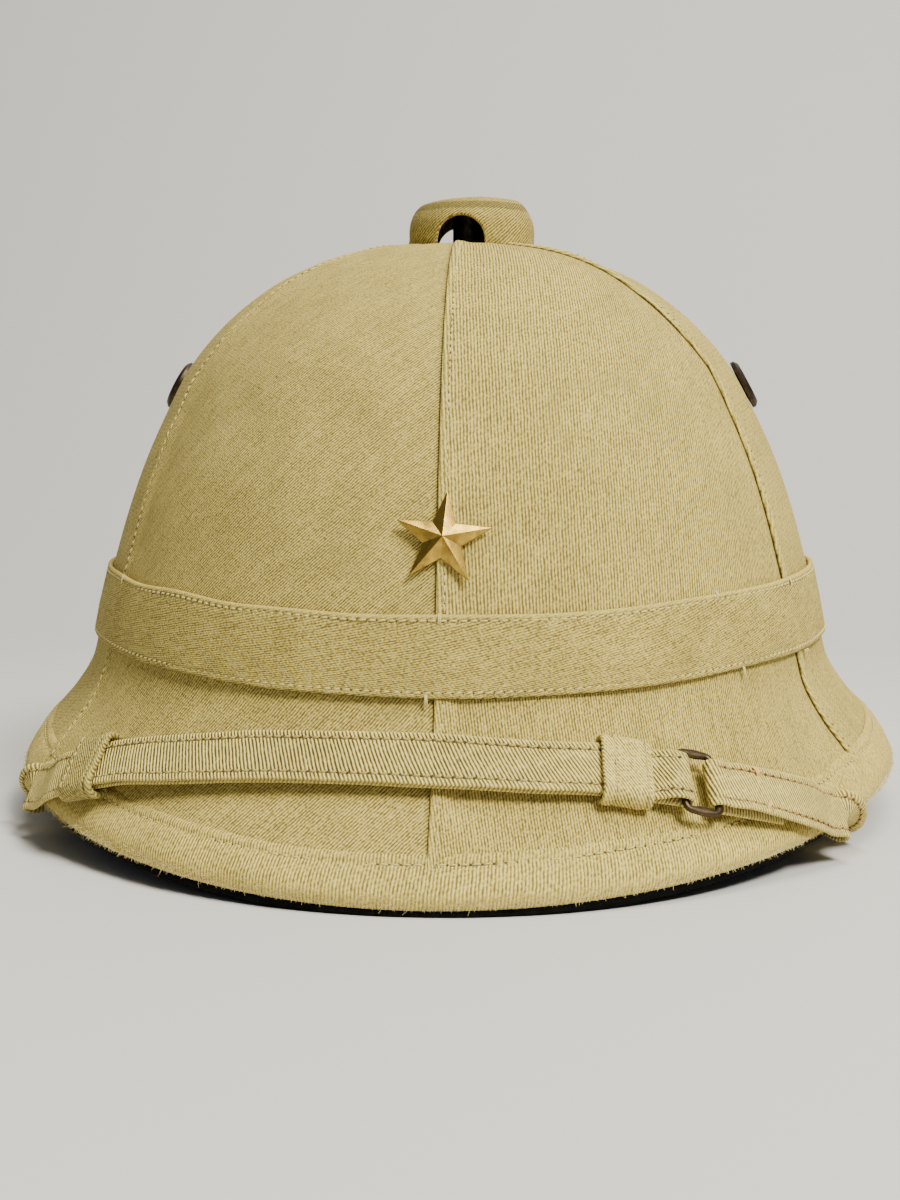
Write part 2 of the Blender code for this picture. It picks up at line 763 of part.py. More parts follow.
def make_straps(parts):
    """The long strap from the left, doubled back from the buckle, and the short one from the right."""
    first = STRAP_ROUTE[0][0]
    last = STRAP_ROUTE[-1][0]
    half_buckle = degrees_along(BUCKLE_AROUND, 0.5 * BUCKLE_LENGTH)
    rise = degrees_along(BUCKLE_AROUND, BAR_RISE)
    left_bar = BUCKLE_AROUND - half_buckle
    right_bar = BUCKLE_AROUND + half_buckle
    inside = list(reversed(inside_run(first - 2.0 * RIM_CROSSING, -1.0)))
    over_rim = list(reversed(round_rim(first - RIM_CROSSING, -1.0)))
    keeper = LEFT_KEEPER_AROUND
    run = [on_brim(first + 5.0, BINDING_LAYER - 2.0 * BINDING_EASE), on_brim(first + 10.0, UPPER_LAYER)]
    tops = [row[0] for row in STRAP_ROUTE if keeper - 1.0 < row[0] < left_bar - 2.0 * rise]
    run += [on_brim(around, UPPER_LAYER) for around in tops]
    run += [on_brim(left_bar - 1.25 * rise, UPPER_LAYER)]
    run += [on_brim(left_bar - 0.75 * rise, 0.5 * (UPPER_LAYER + OVER_BAR)), before_bar(1.0)]
    turn = round_bar(1.0)
    back = [on_brim(left_bar - 0.5 * rise, LOWER_LAYER), on_brim(left_bar - 1.25 * rise, LOWER_LAYER)]
    back += [on_brim(around, LOWER_LAYER) for around in reversed(tops)]
    tail = keeper - degrees_along(keeper, 0.5 * KEEPER_LENGTH + 2.0)
    back += [on_brim(tail, LOWER_LAYER)]
    back = [(point, -facing) for point, facing in back]
    long_strap = strap_mesh("strap_long", inside + over_rim + run + turn + back)
    add_solidify(add_object("strap_long", long_strap, parts, "strap_cloth"), STRAP_CLOTH, 0.0)

    under = [on_brim(SHORT_TAIL_AROUND, LOWER_LAYER), on_brim(right_bar + 0.6 * rise, LOWER_LAYER)]
    under = [(point, -facing) for point, facing in under]
    turn = list(reversed(round_bar(-1.0)))
    run = [before_bar(-1.0), on_brim(right_bar + 0.75 * rise, 0.5 * (UPPER_LAYER + OVER_BAR))]
    run += [on_brim(right_bar + 1.4 * rise, UPPER_LAYER)]
    run += [on_brim(last - 4.0, 0.5 * (UPPER_LAYER + BINDING_LAYER) + BINDING_EASE)]
    over_rim = round_rim(last + 0.3 * RIM_CROSSING, 1.0)
    inside = inside_run(last + 1.3 * RIM_CROSSING, 1.0)
    short_strap = strap_mesh("strap_short", under + turn + run + over_rim + inside)
    add_solidify(add_object("strap_short", short_strap, parts, "strap_cloth"), STRAP_CLOTH, 0.0)


def make_keeper(name, around, parts):
    """A closed loop of cloth round both layers of the strap."""
    centre, out = on_brim(around, 0.0)
    along = (on_brim(around + 0.5, 0.0)[0] - on_brim(around - 0.5, 0.0)[0]).normalized()
    across = out.cross(along).normalized()
    low = GAP + 0.5 * KEEPER_CLOTH
    high = UPPER_LAYER + 0.5 * STRAP_CLOTH + KEEPER_EASE + 0.5 * KEEPER_CLOTH
    half = 0.5 * STRAP_WIDTH + KEEPER_SPARE + 0.5 * KEEPER_CLOTH
    radius = 0.5 * (high - low)
    middle = 0.5 * (high + low)
    outline = []
    for side in (1.0, -1.0):
        for step in range(TURN_STEPS + 1):
            angle = math.pi * (step / TURN_STEPS - 0.5)
            wide = side * (half - radius + radius * math.cos(angle))
            outline.append((wide, middle + side * radius * math.sin(angle)))
    rows = []
    for end in (-0.5, 0.5):
        shift = along * (end * KEEPER_LENGTH)
        rows.append([centre + shift + across * wide + out * height for wide, height in outline])
    keeper = add_object(name, grid_mesh(name, rows, True), parts, "strap_cloth")
    fix_normals(keeper.data)
    add_solidify(keeper, KEEPER_CLOTH, 0.0)


def make_buckle(parts):
    """A rectangular loop of wire with rounded corners, which both straps turn round."""
    centre, _, along, across = buckle_frame()
    half_long = 0.5 * BUCKLE_LENGTH
    half_wide = 0.5 * STRAP_WIDTH + BUCKLE_SPARE + BUCKLE_WIRE
    corner = BUCKLE_CORNER
    route = []
    for quarter, (x_side, y_side) in enumerate(((1, 1), (-1, 1), (-1, -1), (1, -1))):
        for step in range(4):
            angle = math.radians(90.0 * quarter + 30.0 * step)
            x = x_side * (half_long - corner) + corner * math.cos(angle)
            y = y_side * (half_wide - corner) + corner * math.sin(angle)
            route.append(centre + along * x + across * y)
    curve = bpy.data.curves.new("strap_buckle", "CURVE")
    curve.dimensions = "3D"
    curve.bevel_depth = BUCKLE_WIRE * MM
    curve.bevel_resolution = 2
    spline = curve.splines.new("POLY")
    spline.points.add(len(route) - 1)
    for place, point in zip(spline.points, route):
        place.co = (point.x * MM, point.y * MM, point.z * MM, 1.0)
    spline.use_cyclic_u = True
    buckle = bpy.data.objects.new("strap_buckle", curve)
    curve.materials.append(make_material("strap_buckle", "dark_metal"))
    parts.objects.link(buckle)


def main():
    parts, cutters = start_scene()
    make_shell(parts, cutters)
    make_panels(parts)
    make_hatband(parts)
    make_rim_binding(parts)
    make_vent_button(parts, cutters)
    make_side_vents(parts)
    make_star(parts)
    make_straps(parts)
    make_keeper("strap_keeper_left", LEFT_KEEPER_AROUND, parts)
    make_keeper("strap_keeper_right", RIGHT_KEEPER_AROUND, parts)
    make_buckle(parts)


main()
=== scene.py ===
import math
import random

import bmesh
import bpy
import numpy as np
from mathutils import Matrix, Vector


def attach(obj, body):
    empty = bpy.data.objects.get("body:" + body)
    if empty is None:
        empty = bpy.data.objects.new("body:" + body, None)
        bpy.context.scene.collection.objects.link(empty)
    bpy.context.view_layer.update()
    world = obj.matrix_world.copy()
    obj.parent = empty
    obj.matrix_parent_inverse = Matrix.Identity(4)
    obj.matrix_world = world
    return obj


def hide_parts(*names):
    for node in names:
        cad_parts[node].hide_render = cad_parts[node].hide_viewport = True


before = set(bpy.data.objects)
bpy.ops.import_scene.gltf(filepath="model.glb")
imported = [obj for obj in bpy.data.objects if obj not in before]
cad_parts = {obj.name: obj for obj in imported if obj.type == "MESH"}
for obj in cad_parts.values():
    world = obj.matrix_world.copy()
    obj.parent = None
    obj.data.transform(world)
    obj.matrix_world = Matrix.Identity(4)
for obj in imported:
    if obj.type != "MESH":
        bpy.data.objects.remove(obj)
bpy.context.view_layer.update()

random.seed(7)
MM = 0.001

# Form of the cloth surface, as in part.py
CROWN_RISE = 92.6
BAND_ZONE_HEIGHT = 21.5
BRIM_DROP = 33.1
SIDE_RIM_HEIGHT = 15.4
HEAD_HALF_WIDTH = 103.2
HEAD_HALF_LENGTH = 124.5
BAND_FLARE_SIDE = 4.8
BAND_FLARE_END = 6.5
BRIM_FLARE_SIDE = 18.5
BRIM_FLARE_END = 32.3
BAND_SADDLE = 6.5
RIM_SADDLE = 12.0
CROWN_ROWS = (
    # rise, reach, saddle
    (1.000, 0.000, 0.00),
    (0.989, 0.185, 0.00),
    (0.950, 0.360, 0.00),
    (0.888, 0.503, 0.05),
    (0.805, 0.615, 0.12),
    (0.708, 0.709, 0.23),
    (0.594, 0.789, 0.37),
    (0.459, 0.853, 0.52),
    (0.319, 0.910, 0.69),
    (0.173, 0.956, 0.85),
    (0.000, 1.000, 1.00),
)
BAND_ROWS = (
    # drop, side flare, end flare
    (0.56, 0.62, 0.54),
    (1.00, 1.00, 1.00),
)
BRIM_ROWS = (
    # drop, side flare, end flare, saddle
    (0.236, 0.119, 0.164, 0.18),
    (0.486, 0.405, 0.418, 0.45),
    (0.736, 0.784, 0.716, 0.73),
    (1.000, 1.000, 1.000, 1.00),
)
STRAP_ROUTE = (
    # around, share
    (-58.0, 0.985),
    (-54.0, 0.92),
    (-50.0, 0.84),
    (-45.0, 0.73),
    (-39.0, 0.615),
    (-32.8, 0.525),
    (-21.6, 0.41),
    (-11.2, 0.365),
    (0.0, 0.36),
    (12.4, 0.41),
    (19.6, 0.455),
    (26.4, 0.545),
    (32.0, 0.645),
    (38.4, 0.75),
    (44.0, 0.855),
    (48.0, 0.935),
    (50.5, 0.985),
)
INSIDE_ROUTE = (
    # back, share
    (0.10, 0.86),
    (0.35, 0.62),
    (0.65, 0.40),
    (0.88, 0.20),
    (1.00, 0.04),
)
CROWN_END = 10
BAND_END = 12
RIM = 16
GAP = 0.3
SHELL_WALL = 4.0
CLOTH = 1.0
BAND_WIDTH = 19.6
BAND_INSET = 0.8
FELT_PAST_CLOTH = 3.3
FELT_PAST_CLOTH_SIDE = 2.1
FELT_EDGE_THINNING = 1.4
PANELS = 6
FRONT_SEAM = 60.0
FRONT_SEAM_PINCH = 14.0
SEAM_STRAIGHT_ROW = 6.0


def section_table():
    """Rows of (half width, side height, half length, saddle), with one more row before and after."""
    band_top = SIDE_RIM_HEIGHT + BRIM_DROP + BAND_ZONE_HEIGHT
    rows = []
    for rise, reach, saddle in CROWN_ROWS:
        height = band_top + rise * CROWN_RISE
        rows.append((reach * HEAD_HALF_WIDTH, height, reach * HEAD_HALF_LENGTH, saddle * BAND_SADDLE))
    for drop, side, end in BAND_ROWS:
        width = HEAD_HALF_WIDTH + side * BAND_FLARE_SIDE
        length = HEAD_HALF_LENGTH + end * BAND_FLARE_END
        rows.append((width, band_top - drop * BAND_ZONE_HEIGHT, length, BAND_SADDLE))
    for drop, side, end, saddle in BRIM_ROWS:
        width = HEAD_HALF_WIDTH + BAND_FLARE_SIDE + side * BRIM_FLARE_SIDE
        height = SIDE_RIM_HEIGHT + (1.0 - drop) * BRIM_DROP
        length = HEAD_HALF_LENGTH + BAND_FLARE_END + end * BRIM_FLARE_END
        rows.append((width, height, length, BAND_SADDLE + saddle * (RIM_SADDLE - BAND_SADDLE)))
    table = np.array(rows)
    first = table[1] * np.array((-1.0, 1.0, -1.0, 1.0))
    last = 2.0 * table[-1] - table[-2]
    return np.vstack([first, table, last])


SECTIONS = section_table()


def surface(row, around):
    """Points of the cloth surface in millimetres; around is in degrees from the front towards +X."""
    row, around = np.broadcast_arrays(np.asarray(row, float), np.asarray(around, float))
    index = np.clip(np.floor(row).astype(int), 0, RIM - 1)
    share = (row - index)[..., None]
    p0, p1, p2, p3 = (SECTIONS[index + step] for step in range(4))
    cubic = (-p0 + 3 * p1 - 3 * p2 + p3) * share**3
    square = (2 * p0 - 5 * p1 + 4 * p2 - p3) * share**2
    values = 0.5 * (2 * p1 + (p2 - p0) * share + square + cubic)
    angle = np.radians(around)
    forward = np.cos(angle)
    x = values[..., 0] * np.sin(angle)
    y = -values[..., 2] * forward
    z = values[..., 1] - values[..., 3] * forward**2
    return np.stack([x, y, z], axis=-1)


def unit(vectors):
    return vectors / np.maximum(np.linalg.norm(vectors, axis=-1, keepdims=True), 1e-9)


def directions(row, around):
    """Unit vectors at surface points: outwards, down the section, and around towards +X."""
    row = np.maximum(np.asarray(row, float), 0.05)
    around = np.asarray(around, float)
    down = unit(surface(row + 0.01, around) - surface(row - 0.01, around))
    side = unit(surface(row, around + 1.0) - surface(row, around - 1.0))
    out = -unit(np.cross(side, down))
    return out, down, side


def lifted(row, around, height):
    """Surface points moved outwards by a height."""
    out = directions(row, around)[0]
    return surface(row, around) + out * np.asarray(height, float)[..., None]


def row_above_rim(around, distance):
    around = np.asarray(around, float)
    pitch = np.linalg.norm(surface(RIM, around) - surface(RIM - 0.01, around), axis=-1) / 0.01
    return RIM - distance / pitch


def row_below_band_top(around, distance):
    around = np.asarray(around, float)
    zone = np.linalg.norm(surface(BAND_END, around) - surface(CROWN_END, around), axis=-1)
    return CROWN_END + (BAND_END - CROWN_END) * distance / zone


def brim_row(share):
    return BAND_END + share * (RIM - BAND_END)


def seam_angle(number, row):
    """Degrees from the front of a seam; the two beside the front draw together near the top."""
    row = np.asarray(row, float)
    angle = number * 360.0 / PANELS
    if angle > 180.0:
        angle -= 360.0
    result = np.full(row.shape, angle)
    if abs(abs(angle) - FRONT_SEAM) < 1.0:
        pinch = FRONT_SEAM_PINCH * np.clip(1.0 - row / SEAM_STRAIGHT_ROW, 0.0, 1.0)
        result = result - math.copysign(1.0, angle) * pinch
    return result


WAVES = np.random.default_rng(11).normal(size=(64, 3))
PHASES = np.random.default_rng(12).uniform(0.0, 2.0 * math.pi, 64)


def uneven(points, length, seed=0):
    """A smooth unevenness between about -1 and 1 over points, with a feature length in millimetres."""
    start = (seed * 8) % 56
    total = np.zeros(points.shape[:-1])
    for wave, phase in zip(WAVES[start : start + 8], PHASES[start : start + 8]):
        total += np.sin(points @ (wave * (2.4 / length)) + phase)
    return total / 3.2


# Cloth materials


def set_inputs(tree, made, inputs):
    """Links a node's inputs to sockets, or sets them to values."""
    for name, value in inputs.items():
        if isinstance(value, bpy.types.NodeSocket):
            tree.links.new(value, made.inputs[name])
        else:
            made.inputs[name].default_value = value


def node(tree, kind, inputs=None, **settings):
    """A shader node with its settings and its inputs."""
    made = tree.nodes.new(kind)
    for name, value in settings.items():
        setattr(made, name, value)
    set_inputs(tree, made, inputs or {})
    return made


def math_node(tree, operation, *values, clamp=False):
    made = node(tree, "ShaderNodeMath", dict(enumerate(values)), operation=operation, use_clamp=clamp)
    return made.outputs[0]


def mix_colour(tree, factor, a, b, blend="MIX"):
    made = node(tree, "ShaderNodeMix", {0: factor, 6: a, 7: b}, data_type="RGBA", blend_type=blend)
    return made.outputs[2]


def ramp(tree, factor, stops):
    made = node(tree, "ShaderNodeValToRGB", {"Fac": factor})
    elements = made.color_ramp.elements
    while len(elements) < len(stops):
        elements.new(0.5)
    for element, (place, colour) in zip(elements, stops):
        element.position = place
        element.color = (*colour, 1.0)
    return made.outputs["Color"]


def noise(tree, vector, scale, detail=3.0, roughness=0.55, distortion=0.0):
    values = {"Vector": vector, "Scale": scale, "Detail": detail}
    values.update({"Roughness": roughness, "Distortion": distortion})
    return node(tree, "ShaderNodeTexNoise", values).outputs["Fac"]


def mapped(tree, vector, **values):
    return node(tree, "ShaderNodeMapping", {"Vector": vector, **values}).outputs["Vector"]


def cells(tree, vector, scale, randomness, dimensions="3D"):
    values = {"Vector": vector, "Scale": scale, "Randomness": randomness}
    return node(tree, "ShaderNodeTexVoronoi", values, voronoi_dimensions=dimensions).outputs["Distance"]


def new_material(name):
    material = bpy.data.materials.new(name)
    material.use_nodes = True
    return material, material.node_tree


def scaled(colour, share):
    return tuple(channel * share for channel in colour)


SLUB_SHARE = 0.4
FLOAT_SHARE = 0.42
FLOAT_MEAN = 0.45
MOTTLE = 0.09
BLACK = (0.0, 0.0, 0.0)
WHITE = (1.0, 1.0, 1.0)


def finish_material(tree, inputs, height=None, strength=1.0, depth=0.0):
    """Sets the material's shader, with a bump from a height socket and a depth in millimetres."""
    if height is not None:
        values = {"Height": height, "Strength": strength, "Distance": depth * MM}
        inputs = {**inputs, "Normal": node(tree, "ShaderNodeBump", values).outputs["Normal"]}
    set_inputs(tree, tree.nodes["Principled BSDF"], inputs)


def twill(name, light, angle, pitch=0.92, contrast=1.0, relief=0.3, seed=0.0, stains=0.5, rib=0.5, grain=0.6,
          lift=0.0):
    """Cotton twill: ribs of short floats at an angle to the cloth's width, mottled and a little stained, with
    painted shade in the weave's grooves and painted highlight on its ribs.
    """
    material, tree = new_material(name)
    place = node(tree, "ShaderNodeAttribute", attribute_name="weave").outputs["Vector"]
    cloth = mapped(tree, place, Location=(seed, seed * 0.7, seed * 1.3))
    ribbed = mapped(tree, cloth, Rotation=(0.0, 0.0, math.radians(angle)))
    rib_values = {"Vector": ribbed, "Scale": 0.314 / pitch, "Distortion": 2.2, "Detail": 3.0,
                  "Detail Scale": 0.4}
    ribs = node(tree, "ShaderNodeTexWave", rib_values, bands_direction="X").outputs["Fac"]
    float_place = mapped(tree, ribbed, Scale=(1.0 / pitch, 0.62 / pitch, 1.0), Rotation=(0.0, 0.0, 0.3))
    floats = cells(tree, float_place, 1.0, 0.6, "2D")
    slub = noise(tree, mapped(tree, ribbed, Scale=(1.1, 0.14, 1.0)), 1.0, 2.0, 0.6)
    level = lift + 0.5 * (1.0 - rib - grain - SLUB_SHARE) + FLOAT_SHARE * FLOAT_MEAN
    height = math_node(tree, "MULTIPLY_ADD", noise(tree, cloth, 1.7, 5.0, 0.75), grain, level)
    for socket, share in ((ribs, rib), (floats, -FLOAT_SHARE), (slub, SLUB_SHARE)):
        height = math_node(tree, "MULTIPLY_ADD", socket, share, height)
    red, green, blue = light
    dark = (red * (1.0 - 0.4 * contrast), green * (1.0 - 0.43 * contrast), blue * (1.0 - 0.5 * contrast))
    pale = scaled((red, green, blue * 1.1), min(1.0 + 0.42 * contrast, 0.92 / red))
    # The colour follows the weave's height: partly the yarn's own tone, and partly painted shade in the grooves
    # and painted highlight on the ribs.
    colour = ramp(tree, height, ((0.24, scaled(dark, 0.55)), (0.4, dark), (0.56, light), (0.8, pale)))
    low, high = 1.0 - MOTTLE, 1.0 + MOTTLE
    blotch = noise(tree, cloth, 0.045, 4.0, 0.6, 0.4)
    blotches = ramp(tree, blotch, ((0.3, (low, low, low * 0.98)), (0.7, (high, high, high))))
    colour = mix_colour(tree, 1.0, colour, blotches, "MULTIPLY")
    stain = ramp(tree, noise(tree, cloth, 0.028, 5.0, 0.65, 1.2), ((0.56, BLACK), (0.74, WHITE)))
    spots = math_node(tree, "LESS_THAN", cells(tree, cloth, 0.09, 1.0), 0.04)
    wear_and_shade = node(tree, "ShaderNodeAttribute", attribute_name="wear_and_shade").outputs["Fac"]
    # Worn places are lightened; where the attribute is below zero the cloth is darkened as painted shade in
    # creases and grooves, under folds and under edges.
    layers = (
        (math_node(tree, "MULTIPLY", stain, stains, clamp=True), 0.6),
        (math_node(tree, "MULTIPLY", spots, 0.6), 0.2),
        (math_node(tree, "MAXIMUM", wear_and_shade, 0.0), 1.4),
        (math_node(tree, "MULTIPLY", wear_and_shade, -1.0, clamp=True), 0.14),
    )
    for factor, share in layers:
        colour = mix_colour(tree, factor, colour, (*scaled(light, share), 1.0))
    values = {"Base Color": colour, "Roughness": 0.94, "Specular IOR Level": 0.2, "Sheen Weight": 0.04}
    values.update({"Sheen Roughness": 0.5, "Sheen Tint": (0.95, 0.8, 0.5, 1.0)})
    finish_material(tree, values, height, 1.0, relief)
    return material


def felt(name, colour):
    material, tree = new_material(name)
    place = node(tree, "ShaderNodeTexCoord").outputs["Object"]
    coarse = noise(tree, place, 220.0, 5.0, 0.7)
    shade = ramp(tree, coarse, ((0.3, scaled(colour, 0.6)), (0.75, scaled(colour, 1.7))))
    lint = ramp(tree, noise(tree, place, 420.0, 6.0, 0.8, 2.5), ((0.68, BLACK), (0.8, WHITE)))
    shade = mix_colour(tree, math_node(tree, "MULTIPLY", lint, 0.2), shade, (0.16, 0.14, 0.11, 1.0))
    height = math_node(tree, "MULTIPLY_ADD", noise(tree, place, 1400.0, 3.0, 0.7), 0.5, coarse)
    finish_material(tree, {"Base Color": shade, "Roughness": 1.0, "Specular IOR Level": 0.04}, height, 0.8, 0.4)
    return material


def metal(name, light, dark, roughness, wear_scale=400.0, relief=0.05):
    """Aged metal: tarnish in patches and an uneven surface."""
    material, tree = new_material(name)
    place = node(tree, "ShaderNodeTexCoord").outputs["Object"]
    patches = noise(tree, place, wear_scale, 5.0, 0.65, 0.6)
    colour = ramp(tree, patches, ((0.32, dark), (0.62, light)))
    values = {"Value": patches, "From Min": 0.3, "From Max": 0.7, "To Min": roughness + 0.18,
              "To Max": roughness}
    rough = node(tree, "ShaderNodeMapRange", values).outputs["Result"]
    inputs = {"Base Color": colour, "Metallic": 1.0, "Roughness": rough}
    finish_material(tree, inputs, noise(tree, place, 2600.0, 3.0, 0.6), 0.6, relief)
    return material


def plain(name, colour, roughness):
    material, tree = new_material(name)
    finish_material(tree, {"Base Color": (*colour, 1.0), "Roughness": roughness})
    return material


KHAKI = (0.545, 0.434, 0.116)
STRAP_KHAKI = (0.74, 0.61, 0.18)
THREAD = (0.65, 0.55, 0.2)
STRAP_THREAD = (0.42, 0.325, 0.095)
SHORT_STRAP_THREAD = (0.42, 0.24, 0.075)
ORANGE_THREAD = (0.78, 0.5, 0.18)

# Mesh building


def add_object(name, data):
    made = bpy.data.objects.new(name, data)
    bpy.context.scene.collection.objects.link(made)
    return made


def finish_piece(name, mesh, material, node_names, smooth=60.0):
    """An object that rides on the helmet and stands for its CAD nodes."""
    mesh.materials.append(material)
    mesh.shade_smooth()
    mesh.set_sharp_from_angle(angle=math.radians(smooth))
    piece = add_object(name, mesh)
    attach(piece, "root")
    if node_names:
        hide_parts(*node_names)
    return piece


def set_cloth(mesh, weave, wear_and_shade):
    """Stores the cloth's two coordinates in millimetres, and its wear and painted shade, at a mesh's points."""
    u, v, wear_and_shade = np.broadcast_arrays(*weave, wear_and_shade)
    flat = np.stack([u, v, np.zeros(u.shape)], axis=-1)
    stored = (("weave", "FLOAT_VECTOR", "vector", flat), ("wear_and_shade", "FLOAT", "value", wear_and_shade))
    for name, kind, key, values in stored:
        attribute = mesh.attributes.new(name, kind, "POINT")
        attribute.data.foreach_set(key, values.astype(np.float32).ravel())


def mesh_of(name, points, faces, weave=None, wear_and_shade=0.0):
    """A mesh from points in millimetres, with its cloth coordinates, wear and painted shade where it is cloth.
    """
    mesh = bpy.data.meshes.new(name)
    faces = faces.tolist() if isinstance(faces, np.ndarray) else faces
    mesh.from_pydata((np.asarray(points).reshape(-1, 3) * MM).tolist(), [], faces)
    if weave is not None:
        set_cloth(mesh, weave, wear_and_shade)
    mesh.update()
    return mesh


def grid_faces(rows, columns, ring_rows=False, ring_columns=False, flip=False):
    """Quads of a grid of points; a ring direction joins its last line to its first."""
    row = np.arange(rows if ring_rows else rows - 1)
    column = np.arange(columns if ring_columns else columns - 1)
    r, c = np.meshgrid(row, column, indexing="ij")
    r1 = (r + 1) % rows
    c1 = (c + 1) % columns
    quads = np.stack([r * columns + c, r1 * columns + c, r1 * columns + c1, r * columns + c1], axis=-1)
    quads = quads.reshape(-1, 4)
    return quads[:, ::-1] if flip else quads


def arc_lengths(points):
    """Length along each line of points, which run along the last but one axis."""
    steps = np.linalg.norm(np.diff(points, axis=-2), axis=-1)
    return np.concatenate([np.zeros(steps.shape[:-1] + (1,)), np.cumsum(steps, axis=-1)], axis=-1)


def rows_between(start, stop, around, step):
    """Rows about one step apart in millimetres down the section at an angle."""
    trial = np.linspace(start, stop, 400)
    lengths = arc_lengths(surface(trial, around))
    count = max(int(lengths[-1] / step), 2)
    return np.interp(np.linspace(0.0, lengths[-1], count + 1), lengths, trial)


STITCH_PITCH = 2.45
LAP_COLUMNS = (
    # distance from the seam, height
    (3.0, -0.55),
    (1.2, -0.5),
    (0.2, -0.42),
    (-0.25, -0.2),
    (-0.42, 0.15),
    (-0.35, 0.5),
    (-0.05, 0.76),
    (0.4, 0.86),
    (0.9, 0.8),
    (1.3, 0.66),
    (1.7, 0.52),
    (2.1, 0.6),
    (2.6, 0.62),
    (3.2, 0.48),
    (4.0, 0.24),
    (5.0, 0.08),
    (6.2, 0.0),
)
TUCK_COLUMNS = (
    # distance from the seam, height
    (-5.0, 0.0),
    (-3.4, 0.02),
    (-2.2, 0.03),
    (-1.3, -0.02),
    (-0.7, -0.14),
    (-0.2, -0.34),
    (0.3, -0.6),
    (1.5, -0.75),
)
TOPSTITCH = 1.7
COLUMN_WIDTH = 2.2
ROW_WIDTH = 0.62
STITCH_SINK = 0.2
STITCH_LINE = (
    # share of half the stitch's length, height as a share of STITCH_SINK, thickness as a share of the thread's
    (-1.0, -1.2, 0.55),
    (-0.72, 0.1, 0.95),
    (0.0, 0.75, 1.1),
    (0.72, 0.1, 0.95),
    (1.0, -1.2, 0.55),
)


def cloth_panel(word, number, rows, material, grain):
    """A panel of the cover: its first edge folded under and lapped over the panel before it.

    The cloth's grain runs along a line at a share of the panel's width. Returns the seam's angles and heights.
    """
    left = seam_angle(number, rows)
    right = seam_angle((number + 1) % PANELS, rows)
    right = np.where(right <= left, right + 360.0, right)
    middle = 0.5 * (left + right)
    per_degree = np.linalg.norm(surface(rows, middle + 0.5) - surface(rows, middle - 0.5), axis=-1)
    width = (right - left) * per_degree
    shrink = np.clip(width / 24.0, 0.05, 1.0)
    start, stop = LAP_COLUMNS[-1][0], TUCK_COLUMNS[0][0]
    shares = np.linspace(0.0, 1.0, int(max(width) / COLUMN_WIDTH))[1:-1]
    columns = [(0.0, *column) for column in LAP_COLUMNS]
    columns += [(share, start * (1.0 - share) + stop * share, 0.0) for share in shares]
    columns += [(1.0, *column) for column in TUCK_COLUMNS]
    share, place, height = np.array(columns).T
    around = left[:, None] + (right - left)[:, None] * share + place * shrink[:, None] / per_degree[:, None]
    row_grid = np.broadcast_to(rows[:, None], around.shape)
    base = surface(row_grid, around)
    grain_column = int(np.argmin(np.abs(share - grain)))
    along = arc_lengths(base[:, grain_column])
    across = arc_lengths(base)
    across = across - across[:, grain_column : grain_column + 1]
    near = np.exp(-(((place - TOPSTITCH) / 0.7) ** 2)) * (share == 0.0)
    pucker = -0.13 * near * np.cos(2.0 * math.pi * along / STITCH_PITCH)[:, None]
    ease = np.exp(-np.abs(np.minimum(share * width[:, None] + place, 60.0)) / 9.0) * (place > 0.3)
    waves = 0.22 * uneven(base, 9.0, number) * ease
    soft = 0.3 * uneven(base, 42.0, number + 1) * np.clip(width[:, None] / 60.0, 0.0, 1.0)
    lift = height * np.clip(shrink, 0.35, 1.0)[:, None] + pucker + waves + soft * (0.3 + 0.7 * (height == 0.0))
    points = lifted(row_grid, around, lift)
    fold = (place < 0.7) & (place > -0.6) & (share == 0.0) & (height > 0.3)
    # Rubbed wear lightens the fold's top; the darker values are painted shade under the lapped fold and where
    # the edge tucks under the next panel.
    wear_and_shade = np.where(fold, 0.34, 0.0)
    wear_and_shade = np.where((share == 0.0) & (height <= 0.3) & (place < 1.0), -0.4, wear_and_shade)
    wear_and_shade = np.where((share == 1.0) & (height < -0.1), -0.55, wear_and_shade)
    wear_and_shade = np.where((share == 1.0) & (height < 0.0) & (height > -0.1), -0.2, wear_and_shade)
    name = f"{word}_cloth_{number + 1}"
    mesh = mesh_of(name, points, grid_faces(len(rows), len(columns), flip=True), (across, along[:, None]), wear_and_shade)
    piece = finish_piece(name, mesh, material, [f"{word}_panel_{number + 1}"], 75.0)
    stitched = [column[0] for column in LAP_COLUMNS].index(TOPSTITCH)
    return left + TOPSTITCH * shrink / per_degree, lift[:, stitched]


class Threads:
    """Sewing thread collected as many short pieces in one mesh."""

    def __init__(self):
        self.points = []
        self.faces = []
        self.count = 0

    def tube(self, path, facing, radii, sides=6, flat=1.0):
        """A tube along a path; radii are per point, and flat squeezes it along the facing direction."""
        path = np.asarray(path, float)
        tangent = unit(np.gradient(path, axis=0))
        across = unit(np.cross(tangent, facing))
        up = unit(np.cross(across, tangent))
        turns = np.arange(sides) * 2.0 * math.pi / sides
        radii = np.asarray(radii, float)[:, None, None]
        ring = np.cos(turns)[None, :, None] * across[:, None, :]
        ring = ring + flat * np.sin(turns)[None, :, None] * up[:, None, :]
        points = path[:, None, :] + radii * ring
        faces = grid_faces(len(path), sides, ring_columns=True) + self.count
        self.points.append(points.reshape(-1, 3))
        self.faces.extend(faces.tolist())
        self.count += points.shape[0] * sides

    def build(self, name, material):
        mesh = bpy.data.meshes.new(name)
        points = np.concatenate(self.points) * MM
        mesh.from_pydata(points.tolist(), [], self.faces)
        mesh.update()
        return finish_piece(name, mesh, material, [], 80.0)


def spread(places, lengths, path):
    return np.stack([np.interp(places, lengths, path[:, axis]) for axis in range(3)], axis=-1)


